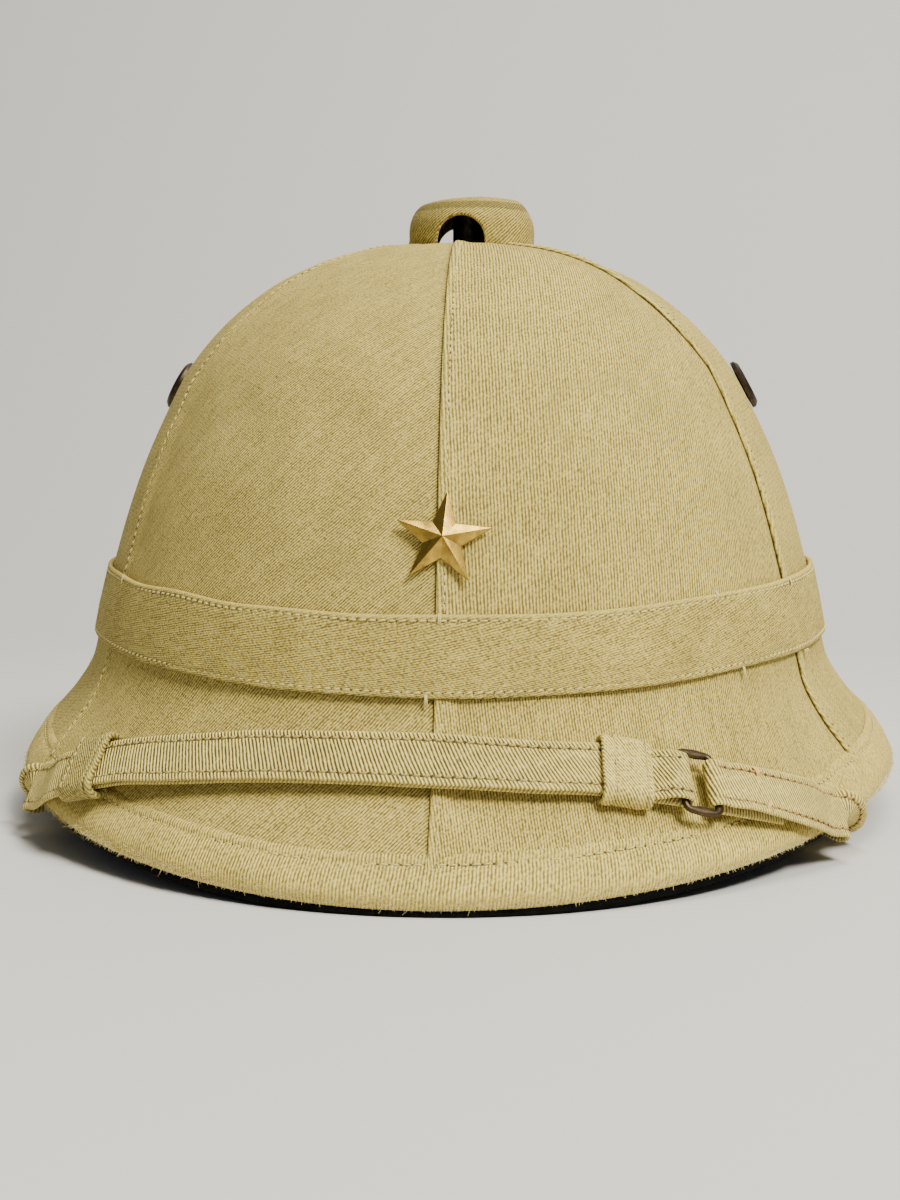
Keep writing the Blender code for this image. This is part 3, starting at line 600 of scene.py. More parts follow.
def stitch_row(threads, hole_shades, path, facing, pitch=STITCH_PITCH, length=1.75, radius=0.24, slant=0.0,
               hole=0.27):
    """A row of machine stitches, each dipping into the cloth at its ends, and painted shade in the needle holes
    between them.
    """
    path = np.asarray(path, float)
    lengths = arc_lengths(path)
    places = np.arange(0.5 * pitch, lengths[-1], pitch)
    points, ahead, behind = (spread(places + step, lengths, path) for step in (0.0, 0.3, -0.3))
    outs = unit(spread(places, lengths, np.asarray(facing, float)))
    for point, tangent, out in zip(points, unit(ahead - behind), outs):
        across = np.cross(out, tangent)
        size = random.uniform(0.85, 1.1)
        lean = slant + random.uniform(-0.1, 0.1)
        heading = tangent * math.cos(lean) + across * math.sin(lean)
        half = 0.5 * length * size
        rise = random.uniform(-0.04, 0.05)
        line = []
        for share, height, _ in STITCH_LINE:
            line.append(point + heading * (share * half) + out * (height * STITCH_SINK + rise))
        threads.tube(line, out, [item[2] * radius for item in STITCH_LINE], 6, 0.8)
        # A dark mark in the gap after each stitch is painted shade in its needle hole.
        if hole_shades is not None:
            gap = point + tangent * (0.5 * pitch)
            spot = [gap - tangent * hole, gap, gap + tangent * hole]
            hole_shades.tube(spot, out, (0.02, hole, 0.02), 6, 0.5)


def bar_tack(threads, point, tangent, out, length=2.6, turns=4, width=0.9):
    """A few threads laid side by side, as a sewn tack."""
    across = np.cross(out, tangent)
    for index in range(turns):
        side = (index / max(turns - 1, 1) - 0.5) * width
        line = []
        for share, height in ((-1, -0.25), (-0.6, 0.25), (0, 0.4), (0.6, 0.25), (1, -0.25)):
            wander = random.uniform(-0.08, 0.08)
            line.append(point + tangent * (share * 0.5 * length) + across * (side + wander) + out * height)
        threads.tube(line, out, (0.12, 0.2, 0.22, 0.2, 0.12), 6)


def loose_thread(threads, point, heading, out, length, radius=0.1, curl=1.0):
    """A stray thread end that curls away from the cloth."""
    across = np.cross(out, heading)
    line = []
    place = np.asarray(point, float)
    turn = random.uniform(-0.6, 0.6)
    steps = 8
    for step in range(steps + 1):
        line.append(place.copy())
        turn += curl * random.uniform(-0.5, 0.5)
        rise = 0.35 * math.sin(math.pi * step / steps) + random.uniform(-0.1, 0.1)
        direction = heading * math.cos(turn) + across * math.sin(turn) + out * rise
        place = place + unit(direction) * (length / steps)
    threads.tube(line, out, [radius * (1.0 - 0.5 * step / steps) for step in range(steps + 1)], 5)


# Pieces


def sew(threads, hole_shades, rows, around, height, **values):
    """A row of stitches along places of the cloth surface, at a height over it."""
    stitch_row(threads, hole_shades, lifted(rows, around, height), directions(rows, around)[0], **values)


def sew_ring(threads, hole_shades, rows, around, height, **values):
    """A row of stitches right round the helmet."""
    sew(threads, hole_shades, np.append(rows, rows[0]), np.append(around, around[0] + 360.0), height, **values)


PANEL_CLOTH = (
    # the grain's share of the width, crown weave's angle and pitch, brim weave's angle
    (0.0, 3.0, 0.84, 8.0),
    (0.5, -20.0, 0.76, -10.0),
    (0.5, -30.0, 0.76, -24.0),
    (0.5, -35.0, 0.76, -30.0),
    (0.5, -28.0, 0.76, -14.0),
    (1.0, -48.0, 0.62, -40.0),
)


def make_cover():
    """Six crown panels and six brim panels, with the threads along their seams."""
    threads = Threads()
    hole_shades = Threads()
    joint = CROWN_END + 1.0
    for number, (grain, crown_angle, crown_pitch, brim_angle) in enumerate(PANEL_CLOTH):
        parts = (
            ("crown", (0.5, joint), (1.2, 10.2), (crown_angle, crown_pitch, 1.0), 3.0 + 17.0 * number, 0.45),
            ("brim", (joint + 0.02, RIM), (11.9, 15.2), (brim_angle, 0.7, 1.15), 9.0 + 13.0 * number, 0.36),
        )
        for word, reach, sewn, weave, seed, rib in parts:
            cloth = twill(f"{word}_twill_{number + 1}", KHAKI, *weave, seed=seed, rib=rib)
            rows = rows_between(*reach, number * 60.0 + 30.0, ROW_WIDTH)
            line, height = cloth_panel(word, number, rows, cloth, grain)
            keep = (rows > sewn[0]) & (rows < sewn[1])
            sew(threads, hole_shades, rows[keep], line[keep], height[keep])
    hole_shades.build("seam_needle_hole_shades", HOLE_SHADE_CLOTH)
    threads.build("seam_stitches", THREAD_CLOTH)


def ring_piece(name, cad_node, points, material, weave=None, wear_and_shade=0.0, smooth=75.0):
    """A closed ring from a grid of points."""
    faces = grid_faces(*points.shape[:2], ring_rows=True, ring_columns=True)
    mesh = mesh_of(name, points, faces, weave, wear_and_shade)
    recalculate(mesh)
    return finish_piece(name, mesh, material, [cad_node], smooth)


BAND_PROFILE = (
    # distance down from the band's upper edge, height over the cloth
    (1.2, 0.12),
    (0.25, 0.18),
    (-0.12, 0.5),
    (-0.2, 0.95),
    (0.0, 1.35),
    (0.35, 1.58),
    (0.75, 1.5),
    (1.05, 1.32),
    (1.35, 1.42),
    (1.9, 1.54),
    (2.8, 1.52),
    *((4.0 + 1.5 * step, 1.5) for step in range(8)),
    (16.0, 1.52),
    (17.0, 1.54),
    (17.6, 1.5),
    (18.1, 1.34),
    (18.6, 1.48),
    (19.2, 1.5),
    (19.55, 1.3),
    (19.75, 0.95),
    (19.7, 0.5),
    (19.3, 0.15),
    (17.5, 0.12),
)


BAND_STITCHES = (
    # distance from the upper edge, the pucker's reach, height over the cloth, slant
    (1.05, 0.45, 1.34, 0.12),
    (18.1, 0.5, 1.36, 0.35),
)
BAND_TACKS = (
    # degrees, distance from the upper edge, True where it stands upright
    (0.3, 0.6, True),
    (-1.2, 20.2, True),
    (41.0, 0.2, True),
    (60.6, 1.2, True),
    (62.0, 20.6, False),
    (44.0, 20.4, True),
    (-58.0, 0.8, True),
)


def make_band():
    around = np.linspace(180.0, 540.0, 1100, endpoint=False)
    ring = surface(row_below_band_top(around, 10.0), around)
    length = arc_lengths(ring)
    wobble_top = 0.28 * uneven(ring, 38.0, 3)
    wobble_low = 0.35 * uneven(ring, 46.0, 4)

    def rows_down(place):
        low = np.clip(place / BAND_WIDTH, 0.0, 1.0)
        down = BAND_INSET + place + (1.0 - low) * wobble_top + low * wobble_low
        return row_below_band_top(around, down), down

    place, over = np.array(BAND_PROFILE).T[..., None]
    rows, down = rows_down(place)
    near = sum(np.exp(-(((place - at) / reach) ** 2)) for at, reach, _, _ in BAND_STITCHES) * (over > 1.0)
    height = over - 0.12 * near * np.cos(2.0 * math.pi * length / STITCH_PITCH)
    base = surface(rows, around)
    face = np.clip((over - 0.9) / 0.5, 0.0, 1.0)
    height = height + face * (0.16 * uneven(base, 22.0, 5) + 0.05 * uneven(base, 6.0, 6))
    # The rolled upper edge is lighter where it is rubbed; the turned-under lower edge is darkened as painted
    # shadow where the band meets the brim.
    wear_and_shade = np.where((place < 0.6) & (over > 0.8), 0.5, 0.0)
    wear_and_shade = np.where((place > 19.0) & (over < 1.0), -0.9, wear_and_shade)
    cloth = twill("band_twill", scaled(KHAKI, 0.92), -78.0, 0.58, 1.1, seed=40.0, rib=0.25, grain=0.85)
    points = lifted(rows, around, height)
    piece = ring_piece("band_cloth", "hatband", points, cloth, weave=(length, down), wear_and_shade=wear_and_shade)
    threads = Threads()
    hole_shades = Threads()
    for at, _, profile_height, slant in BAND_STITCHES:
        sew_ring(threads, hole_shades, rows_down(at)[0], around, profile_height, slant=slant)
    for angle, distance, upright in BAND_TACKS:
        row = row_below_band_top(angle, BAND_INSET + distance)
        out, down_way, side = directions(row, angle)
        bar_tack(threads, lifted(row, angle, 1.35), down_way if upright else side, out, 3.0, 2, 0.4)
    threads.build("band_stitches", THREAD_CLOTH)
    hole_shades.build("band_needle_hole_shades", HOLE_SHADE_CLOTH)


ROLL_STITCH_FRONT = 8.7
ROLL_STITCH_SIDE = 10.4
ROLL_TOP = (
    # distance up the brim from the stitches, height over the cloth
    (2.6, -0.5),
    (2.9, -0.05),
    (2.4, 0.14),
    (1.8, 0.36),
    (1.2, 0.46),
    (0.7, 0.4),
    (0.3, 0.26),
    (0.0, 0.18),
    (-0.35, 0.28),
    (-0.9, 0.52),
    (-1.6, 0.74),
)
ROLL_EDGE = (
    # distance up the brim from the rim, or past it when negative, and height over the cloth
    (5.6, 1.1),
    (4.4, 1.3),
    (3.2, 1.5),
    (2.1, 1.62),
    (1.1, 1.56),
    (0.2, 1.3),
    (-0.6, 0.88),
    (-1.2, 0.3),
    (-1.6, -0.4),
    (-1.72, -1.1),
    (-1.4, -1.8),
    (-0.6, -2.1),
    (0.6, -1.7),
    (2.0, -1.2),
)


def make_rim_roll():
    """The turned edge of the rim: a soft ridge, a row of stitches in a shallow groove, then the roll."""
    around = np.linspace(180.0, 540.0, 1300, endpoint=False)
    ring = surface(RIM, around)
    length = arc_lengths(ring)
    sideways = np.sin(np.radians(around)) ** 2
    stitches = ROLL_STITCH_FRONT + (ROLL_STITCH_SIDE - ROLL_STITCH_FRONT) * sideways
    stitches = stitches + 0.5 * uneven(ring, 44.0, 2) + 0.12 * uneven(ring, 9.0, 5)
    profile = [(stitches + place, height, place) for place, height in ROLL_TOP]
    profile += [(np.full(around.shape, place), height, -9.0) for place, height in ROLL_EDGE]
    up = np.stack([item[0] for item in profile])
    heights, from_stitches = np.array([item[1:] for item in profile]).T[..., None]
    rows = row_above_rim(around, np.maximum(up, 0.0))
    out, down, _ = directions(rows, around)
    near = np.exp(-((from_stitches / 0.5) ** 2)) * (heights > 0.0)
    height = heights - 0.12 * near * np.cos(2.0 * math.pi * length / STITCH_PITCH)
    base = surface(rows, around)
    height = height + (heights > 0.1) * (0.16 * uneven(base, 14.0, 1) + 0.05 * uneven(base, 4.0, 3))
    points = base + out * height[..., None] + down * np.maximum(-up, 0.0)[..., None]
    weave = (length, arc_lengths(np.swapaxes(points, 0, 1)).T)
    wear_and_shade = np.where((up < 0.5) & (heights > -1.6), 0.25, 0.0)
    wear_and_shade = np.where(np.abs(from_stitches - 1.2) < 0.6, 0.1, wear_and_shade)
    cloth = twill("roll_twill", scaled(KHAKI, 1.16), -4.0, pitch=0.85, seed=60.0, stains=0.3, rib=0.4)
    piece = ring_piece("rim_roll", "rim_binding", points, cloth, weave=weave, wear_and_shade=wear_and_shade)
    threads = Threads()
    hole_shades = Threads()
    sew_ring(threads, hole_shades, row_above_rim(around, stitches), around, 0.2, pitch=2.6, radius=0.22, hole=0.36)
    threads.build("rim_stitches", THREAD_CLOTH)
    hole_shades.build("rim_needle_hole_shades", HOLE_SHADE_CLOTH)


FIBRES = 13000


def make_lint():
    """Short fibres on the worn edge of the rim, and longer lint caught on the felt below it."""
    fibres = Threads()
    for index in range(FIBRES):
        angle = random.uniform(0.0, 360.0)
        out, down, side = directions(float(RIM), angle)
        turn = random.uniform(-0.5, 1.7)
        spot = surface(float(RIM), angle) + out * (1.2 * math.cos(turn))
        spot = spot + down * (0.2 + 1.45 * math.sin(max(turn, 0.0)) + 2.4 * min(turn, 0.0))
        heading = unit(out * math.cos(turn) + down * (0.5 + math.sin(turn)) + side * random.gauss(0.0, 0.8))
        bend = unit(np.array([random.uniform(-1.0, 1.0) for _ in range(3)]))
        length = random.uniform(1.1, 2.2) if index % 60 == 0 else random.uniform(0.3, 0.95)
        share = np.array((0.0, 0.5, 1.0))[:, None]
        line = spot + heading * (length * share) + bend * (0.5 * length * share * share)
        line[:, 2] = np.maximum(line[:, 2], 0.15)
        fibres.tube(line, out, (0.06, 0.05, 0.025), 3)
    fibres.build("rim_lint", plain("lint_fibre", (0.66, 0.56, 0.26), 0.95))


def make_lining():
    """The stiff wall, seen as black felt inside and below the rolled edge."""
    outer = -(CLOTH + GAP)
    inner = outer - SHELL_WALL
    around = np.linspace(0.0, 360.0, 480, endpoint=False)
    rows = rows_between(0.02, RIM, 40.0, 2.2)
    lines = [lifted(row, around, outer) for row in rows]
    out, down, _ = directions(RIM, around)
    half = 0.5 * (SHELL_WALL - FELT_EDGE_THINNING)
    sideways = np.sin(np.radians(around)) ** 2
    farthest = FELT_PAST_CLOTH + (FELT_PAST_CLOTH_SIDE - FELT_PAST_CLOTH) * sideways
    for angle in np.linspace(0.0, math.pi, 9):
        past = farthest - 0.6 * half * (1.0 - math.sin(angle))
        height = outer - half + half * math.cos(angle)
        lines.append(surface(RIM, around) + out * height + down * past[:, None])
    half_way = 0.5 * (BAND_END + RIM)
    thinning = FELT_EDGE_THINNING * np.clip((rows - half_way) / (RIM - half_way), 0.0, 1.0)
    lines += [lifted(row, around, height) for row, height in list(zip(rows, inner + thinning))[::-1]]
    points = np.stack(lines)
    points[..., 2] = np.maximum(points[..., 2] + 0.12 * uneven(points, 7.0, 2), 0.0)
    mesh = mesh_of("lining", points, grid_faces(len(lines), len(around), ring_columns=True, flip=True))
    finish_piece("lining", mesh, felt("black_felt", (0.005, 0.005, 0.0045)), ["shell"], 80.0)


CAP_RADIUS = 18.8
CAP_HEIGHT = 23.8
CAP_WALL = 1.8
CAP_SHOULDER = 6.5
CAP_SHOULDER_DROP = 9.5
CAP_SHIFT = 3.1
ARCH_WIDTH = 13.6
ARCH_HEIGHT = 7.6
ARCH_TURN = 3.0
ARCH_SHIFT = -0.3
STEM_RADIUS = 4.9
STEM_SHIFT = 2.3


def turned(profile, steps):
    """A closed solid of revolution as points and faces, from (radius, height) along its outline."""
    profile = np.array(profile, float)
    turns = np.linspace(0.0, 2.0 * math.pi, steps, endpoint=False)
    x = profile[:, 0][:, None] * np.cos(turns)
    y = profile[:, 0][:, None] * np.sin(turns)
    z = np.broadcast_to(profile[:, 1][:, None], x.shape)
    points = np.stack([x, y, z], axis=-1)
    faces = grid_faces(len(profile), steps, ring_columns=True, flip=True)
    return points.reshape(-1, 3), faces


def arc(centre, radius, start, stop, count):
    turns = np.radians(np.linspace(start, stop, count + 1))
    return [(centre[0] + radius * math.cos(t), centre[1] + radius * math.sin(t)) for t in turns]


def shoulder(radius, top, width, drop, count):
    """Points of a rounded shoulder in a turned outline, from its flat top down to its side."""
    turns = np.radians(np.linspace(90.0, 0.0, count + 1))
    return [(radius - width + width * math.cos(t), top - drop + drop * math.sin(t)) for t in turns]


def crown_height(x, y):
    """Height of the crown's cloth above a place near the top of the helmet."""
    around = np.degrees(np.arctan2(x / HEAD_HALF_WIDTH, -y / HEAD_HALF_LENGTH))
    rows = np.linspace(0.0, 4.0, 81)
    grid = surface(rows[None, :], around[:, None])
    reach = np.hypot(grid[..., 0], grid[..., 1])
    wanted = np.hypot(x, y)
    result = np.empty(len(x))
    for index in range(len(x)):
        result[index] = np.interp(wanted[index], reach[index], grid[index, :, 2])
    return result


def make_arch():
    """The solid that cuts the arch through the vent button, in the button's own place."""
    half = 0.5 * ARCH_WIDTH
    low = SECTIONS[4][1] - 2.0
    spring = SECTIONS[1][1] + ARCH_HEIGHT - half
    outline = [(half, low)] + arc((0.0, spring), half, 0.0, 180.0, 24) + [(-half, low)]
    reach = CAP_RADIUS + 4.0
    ends = [(x, y, z) for y in (-reach, reach) for x, z in outline]
    count = len(outline)
    faces = [tuple(range(count)), tuple(range(2 * count - 1, count - 1, -1))]
    faces += [(i, i + count, (i + 1) % count + count, (i + 1) % count) for i in range(count)]
    mesh = mesh_of("arch_cut", ends, faces)
    mesh.transform(Matrix.Rotation(math.radians(ARCH_TURN), 4, "Z"))
    mesh.transform(Matrix.Translation(((ARCH_SHIFT - CAP_SHIFT) * MM, 0.0, 0.0)))
    recalculate(mesh)
    return add_object("arch_cut", mesh)


def make_vent_button():
    base = SECTIONS[4][1]
    top = base + CAP_HEIGHT
    inner_radius = CAP_RADIUS - CAP_WALL
    profile = [(0.01, top)] + shoulder(CAP_RADIUS, top, CAP_SHOULDER, CAP_SHOULDER_DROP, 16)
    profile += [(CAP_RADIUS, base), (inner_radius, base)]
    profile += shoulder(inner_radius, top - CAP_WALL, CAP_SHOULDER, CAP_SHOULDER_DROP, 12)[::-1]
    profile += [(0.01, top - CAP_WALL)]
    cap_mesh = mesh_of("cap_body", *turned(profile, 96))
    recalculate(cap_mesh, merge=0.05)
    cap = add_object("cap_body", cap_mesh)
    arch = make_arch()
    cut = cap.modifiers.new("arch", "BOOLEAN")
    cut.operation = "DIFFERENCE"
    cut.solver = "EXACT"
    cut.object = arch
    remesh = cap.modifiers.new("remesh", "REMESH")
    remesh.mode = "VOXEL"
    remesh.voxel_size = 0.42 * MM
    soft = cap.modifiers.new("soft", "SMOOTH")
    soft.factor = 0.5
    soft.iterations = 9
    mesh = bpy.data.meshes.new_from_object(cap.evaluated_get(bpy.context.evaluated_depsgraph_get()))
    bpy.data.objects.remove(cap)
    bpy.data.objects.remove(arch)
    flat = np.empty(len(mesh.vertices) * 3)
    mesh.vertices.foreach_get("co", flat)
    local = flat.reshape(-1, 3) / MM
    place = local + np.array((CAP_SHIFT, 0.0, 0.0))
    floor = crown_height(place[:, 0], place[:, 1]) - 1.0
    radius = np.hypot(local[:, 0], local[:, 1])
    outward = local * np.array((1.0, 1.0, 0.0)) / np.maximum(radius, 0.01)[:, None]
    low = np.clip(1.0 - (place[:, 2] - floor - 1.0) / 3.0, 0.0, 1.0)
    ragged = 0.35 * uneven(place, 5.0, 2) + 0.25 * uneven(place, 2.4, 5)
    place = place + outward * (low * (0.35 + ragged) + 0.16 * uneven(place, 8.0, 4))[:, None]
    top_share = np.clip((place[:, 2] - (top - 3.0)) / 3.0, 0.0, 1.0)
    place[:, 2] += top_share * 0.3 * uneven(place, 12.0, 1)
    place[:, 2] = np.maximum(place[:, 2], floor)
    mesh.vertices.foreach_set("co", (place * MM).ravel())
    side = radius > 0.5 * CAP_RADIUS
    u = np.where(side, np.arctan2(local[:, 1], local[:, 0]) * CAP_RADIUS, local[:, 0])
    v = np.where(side, local[:, 2] - radius, local[:, 1])
    in_cap = (radius < inner_radius + 0.4) & (local[:, 2] < top - CAP_WALL + 0.3)
    # The cloth is darker inside the cap, and darker at its foot as painted shade where it meets the crown.
    set_cloth(mesh, (u, v), np.where(in_cap, -0.5, 0.0) - 0.25 * low)
    mesh.name = "vent_cover"
    mesh.update()
    cloth = twill("cap_twill", scaled(KHAKI, 0.84), 50.0, 0.8, seed=80.0)
    finish_piece("vent_cover", mesh, cloth, ["vent_cap"], 80.0)

    ceiling = top - CAP_WALL - 0.1
    bottom = SECTIONS[1][1] - 1.0
    points, faces = turned([(0.01, ceiling), (STEM_RADIUS, ceiling), (STEM_RADIUS, bottom), (0.01, bottom)], 40)
    stem_mesh = mesh_of("vent_post", points + np.array((STEM_SHIFT, 0.0, 0.0)), faces)
    dark = metal("post_metal", (0.06, 0.055, 0.05), (0.015, 0.013, 0.012), 0.35)
    finish_piece("vent_post", stem_mesh, dark, ["vent_stem"], 40.0)


def recalculate(mesh, merge=0.0, bevel=0.0):
    """Turns a mesh's faces outwards, after points closer than merge are joined; a bevel rounds its edges."""
    work = bmesh.new()
    work.from_mesh(mesh)
    if merge:
        bmesh.ops.remove_doubles(work, verts=work.verts, dist=merge * MM)
    bmesh.ops.recalc_face_normals(work, faces=work.faces)
    if bevel:
        edges = work.edges[:]
        bmesh.ops.bevel(work, geom=edges, offset=bevel * MM, segments=3, profile=0.6, affect="EDGES")
    work.to_mesh(mesh)
    work.free()


SIDE_VENT_RADIUS = 7.5
SIDE_VENT_PROUD = 1.5
SIDE_VENT_ROW = 6.35
SIDE_VENT_AROUND = 84.0
SIDE_VENT_OUTLINE = (
    # share of the vent's radius, share of its height
    (0.42, 0.4),
    (0.5, 0.5),
    (0.57, 0.9),
    (0.63, 1.0),
    (0.78, 1.0),
    (0.86, 0.9),
    (0.97, 0.45),
    (1.0, 0.3),
)


def placed(points, origin, across, up, out):
    """Points of a piece's own axes, moved to its place."""
    points = np.asarray(points, float)
    return origin + points[:, :1] * across + points[:, 1:2] * up + points[:, 2:] * out


def make_side_vents():
    seat = GAP + 0.5 * SIDE_VENT_RADIUS**2 / HEAD_HALF_LENGTH
    outline = [(0.01, 0.45 * SIDE_VENT_PROUD)]
    outline += [(reach * SIDE_VENT_RADIUS, rise * SIDE_VENT_PROUD) for reach, rise in SIDE_VENT_OUTLINE]
    outline += [(SIDE_VENT_RADIUS, -0.5), (0.01, -0.5)]
    for word, side in (("left", -1.0), ("right", 1.0)):
        angle = side * SIDE_VENT_AROUND
        out, down, along = directions(SIDE_VENT_ROW, angle)
        points, faces = turned(outline, 64)
        points = placed(points, lifted(SIDE_VENT_ROW, angle, seat), along, -down, out)
        dark = metal(f"vent_metal_{word}", (0.075, 0.055, 0.035), (0.02, 0.015, 0.01), 0.4)
        mesh = mesh_of(f"crown_vent_{word}", points, faces)
        finish_piece(f"crown_vent_{word}", mesh, dark, [f"side_vent_{word}"], 30.0)


STAR_RADIUS = 12.1
STAR_INNER = 4.9
STAR_EDGE = 0.8
STAR_PEAK = 3.0
STAR_ROW = 9.0
STAR_AROUND = 0.6
STAR_LEAN = 5.0


def make_star():
    """A five-pointed star with a raised ridge along each point."""
    points = [(0.0, 0.0, STAR_PEAK)]
    for level in (STAR_EDGE, 0.0):
        for index in range(10):
            turn = math.radians(90.0 + 36.0 * index - STAR_LEAN)
            reach = STAR_INNER if index % 2 else STAR_RADIUS
            points.append((reach * math.cos(turn), reach * math.sin(turn), level))
    faces = [(0, 1 + index, 1 + (index + 1) % 10) for index in range(10)]
    faces += [(1 + index, 11 + index, 11 + (index + 1) % 10, 1 + (index + 1) % 10) for index in range(10)]
    faces.append(tuple(range(20, 10, -1)))
    out, down, along = directions(STAR_ROW, STAR_AROUND)
    origin = lifted(STAR_ROW, STAR_AROUND, GAP + 0.5 * STAR_RADIUS**2 / HEAD_HALF_LENGTH)
    mesh = mesh_of("star", placed(points, origin, along, -down, out), faces)
    recalculate(mesh, bevel=0.1)
    brass = metal("star_brass", (0.6, 0.39, 0.065), (0.27, 0.165, 0.035), 0.26, 260.0, 0.04)
    finish_piece("star", mesh, brass, ["star_badge"], 24.0)


# The chin strap's route, as in part.py
STRAP_WIDTH = 13.5
STRAP_CLOTH = 1.0
STRAP_CLEAR = 1.0
INSIDE_CLEAR = 1.9
WRAP_REACH = 2.2
ROLL_LAYER = 2.1
RIM_DRIFT = 7.0
RIM_LEAD = 0.4
BINDING_EASE = 0.4
BAR_RISE = 6.4
BAR_LEAD = 1.2
BAR_DIP = 0.2
KEEPER_CLOTH = 1.0
KEEPER_LENGTH = 12.2
KEEPER_SPARE = 1.1
KEEPER_EASE = 0.8
LEFT_KEEPER_AROUND = -44.3
LIFT_START = -28.0
LIFT_FULL = -40.5
RIGHT_KEEPER_AROUND = 22.0
BUCKLE_AROUND = 30.4
BUCKLE_WIRE = 0.9
BUCKLE_LENGTH = 8.6
BUCKLE_SPARE = 0.7
BUCKLE_CORNER = 1.6
SHORT_TAIL_AROUND = 40.5
STRAP_ANCHOR_AROUND = 88.0
TURN_STEPS = 6
LOWER_LAYER = GAP + KEEPER_CLOTH + KEEPER_EASE + 0.5 * STRAP_CLOTH
UPPER_LAYER = LOWER_LAYER + STRAP_CLOTH + GAP
BINDING_LAYER = GAP + CLOTH + STRAP_CLEAR + 0.5 * STRAP_CLOTH
BAR_TURN = BUCKLE_WIRE + GAP + 0.5 * STRAP_CLOTH
BAR_HEIGHT = LOWER_LAYER + BAR_TURN
OVER_BAR = BAR_HEIGHT + BAR_TURN
INSIDE_LAYER = -(CLOTH + GAP + SHELL_WALL + INSIDE_CLEAR + 0.5 * STRAP_CLOTH)


SHORT_STRAP_RISE = (
    # degrees before its crossing of the rim, height over the cloth
    (15.0, 5.8),
    (12.6, 5.4),
    (10.0, 5.0),
    (7.0, 4.5),
    (4.2, 3.5),
)


def hermite(share, first, last, rise_in, rise_out):
    """A smooth curve's value at a share of the way from its first value to its last."""
    square, cube = share**2, share**3
    values = (2 * cube - 3 * square + 1) * first + (3 * square - 2 * cube) * last
    return values + (cube - 2 * square + share) * rise_in + (cube - square) * rise_out


def route_share(around):
    rows = STRAP_ROUTE
    index = 0
    while index < len(rows) - 2 and around > rows[index + 1][0]:
        index += 1
    before, start, stop, after = (rows[min(max(index + step, 0), len(rows) - 1)] for step in (-1, 0, 1, 2))
    span = stop[0] - start[0]
    rise_in = (stop[1] - before[1]) / (stop[0] - before[0]) * span
    rise_out = (after[1] - start[1]) / (after[0] - start[0]) * span
    return hermite((around - start[0]) / span, start[1], stop[1], rise_in, rise_out)


def binding_lift(around):
    share = max(0.0, min(1.0, (LIFT_START - around) / (LIFT_START - LIFT_FULL)))
    return (CLOTH + GAP) * share**2 * (3.0 - 2.0 * share)


def on_brim(around, out):
    row = brim_row(route_share(around))
    facing = directions(row, around)[0]
    return surface(row, around) + facing * (out + binding_lift(around)), facing


def on_roll(around):
    """A station on the brim's rolled edge, close to the rim."""
    return on_brim(around, ROLL_LAYER - binding_lift(around))


def degrees_along(around, length):
    pitch = np.linalg.norm(on_brim(around + 0.5, 0.0)[0] - on_brim(around - 0.5, 0.0)[0])
    return length / pitch


def buckle_frame():
    centre, out = on_brim(BUCKLE_AROUND, BAR_HEIGHT)
    reach = degrees_along(BUCKLE_AROUND, 0.5 * BUCKLE_LENGTH)
    ahead = on_brim(BUCKLE_AROUND + reach, BAR_HEIGHT)[0] - on_brim(BUCKLE_AROUND - reach, BAR_HEIGHT)[0]
    along = unit(ahead)
    across = unit(np.cross(out, along))
    return centre, unit(np.cross(along, across)), along, across


def round_bar(side):
    centre, out, along, _ = buckle_frame()
    bar = centre - along * (side * 0.5 * BUCKLE_LENGTH)
    stations = []
    for step in range(TURN_STEPS + 1):
        angle = math.pi * step / TURN_STEPS
        facing = out * math.cos(angle) + along * (side * math.sin(angle))
        stations.append((bar + facing * BAR_TURN, facing))
    return stations


def before_bar(side):
    centre, out, along, _ = buckle_frame()
    place = centre - along * (side * (0.5 * BUCKLE_LENGTH + BAR_TURN + BAR_LEAD))
    return place + out * (BAR_TURN - BAR_DIP), out


def round_rim(around, way):
    """The strap's fold over the rim: it meets the rim slantwise, so it also moves along it."""
    middle = 0.5 * (ROLL_LAYER + INSIDE_LAYER)
    radius = ROLL_LAYER - middle
    stations = []
    for step in range(TURN_STEPS + 1):
        angle = math.pi * step / TURN_STEPS
        place = around + way * RIM_DRIFT * step / TURN_STEPS
        out, down, _ = directions(RIM, place)
        facing = unit(out * math.cos(angle) + down * math.sin(angle))
        point = surface(RIM, place) + out * (middle + radius * math.cos(angle))
        stations.append((point + down * (WRAP_REACH * math.sin(angle)), facing))
    return stations


def inside_run(around, way):
    stations = []
    anchor = way * STRAP_ANCHOR_AROUND
    for back, share in INSIDE_ROUTE:
        place = around + (anchor - around) * back
        row = brim_row(share)
        out = directions(row, place)[0]
        stations.append((surface(row, place) + out * INSIDE_LAYER, -out))
    return stations


def smooth_stations(stations, step=0.8):
    """Points and facings about one step apart on a smooth curve through the stations."""
    places = np.array([item[0] for item in stations])
    values = np.concatenate([places, np.array([item[1] for item in stations])], axis=1)
    spans = np.linalg.norm(np.diff(places, axis=0), axis=1)[:, None]
    slopes = np.diff(values, axis=0) / spans
    middle = (slopes[1:] * spans[:-1] + slopes[:-1] * spans[1:]) / (spans[:-1] + spans[1:])
    rises = np.concatenate([slopes[:1], middle, slopes[-1:]])
    lines = []
    for index, span in enumerate(spans[:, 0]):
        count = max(int(span / step), 1)
        share = (np.arange(count) / count)[:, None]
        lines.append(hermite(share, *values[index : index + 2], *(span * rises[index : index + 2])))
    lines = np.concatenate(lines + [values[-1:]])
    return lines[:, :3], unit(lines[:, 3:])


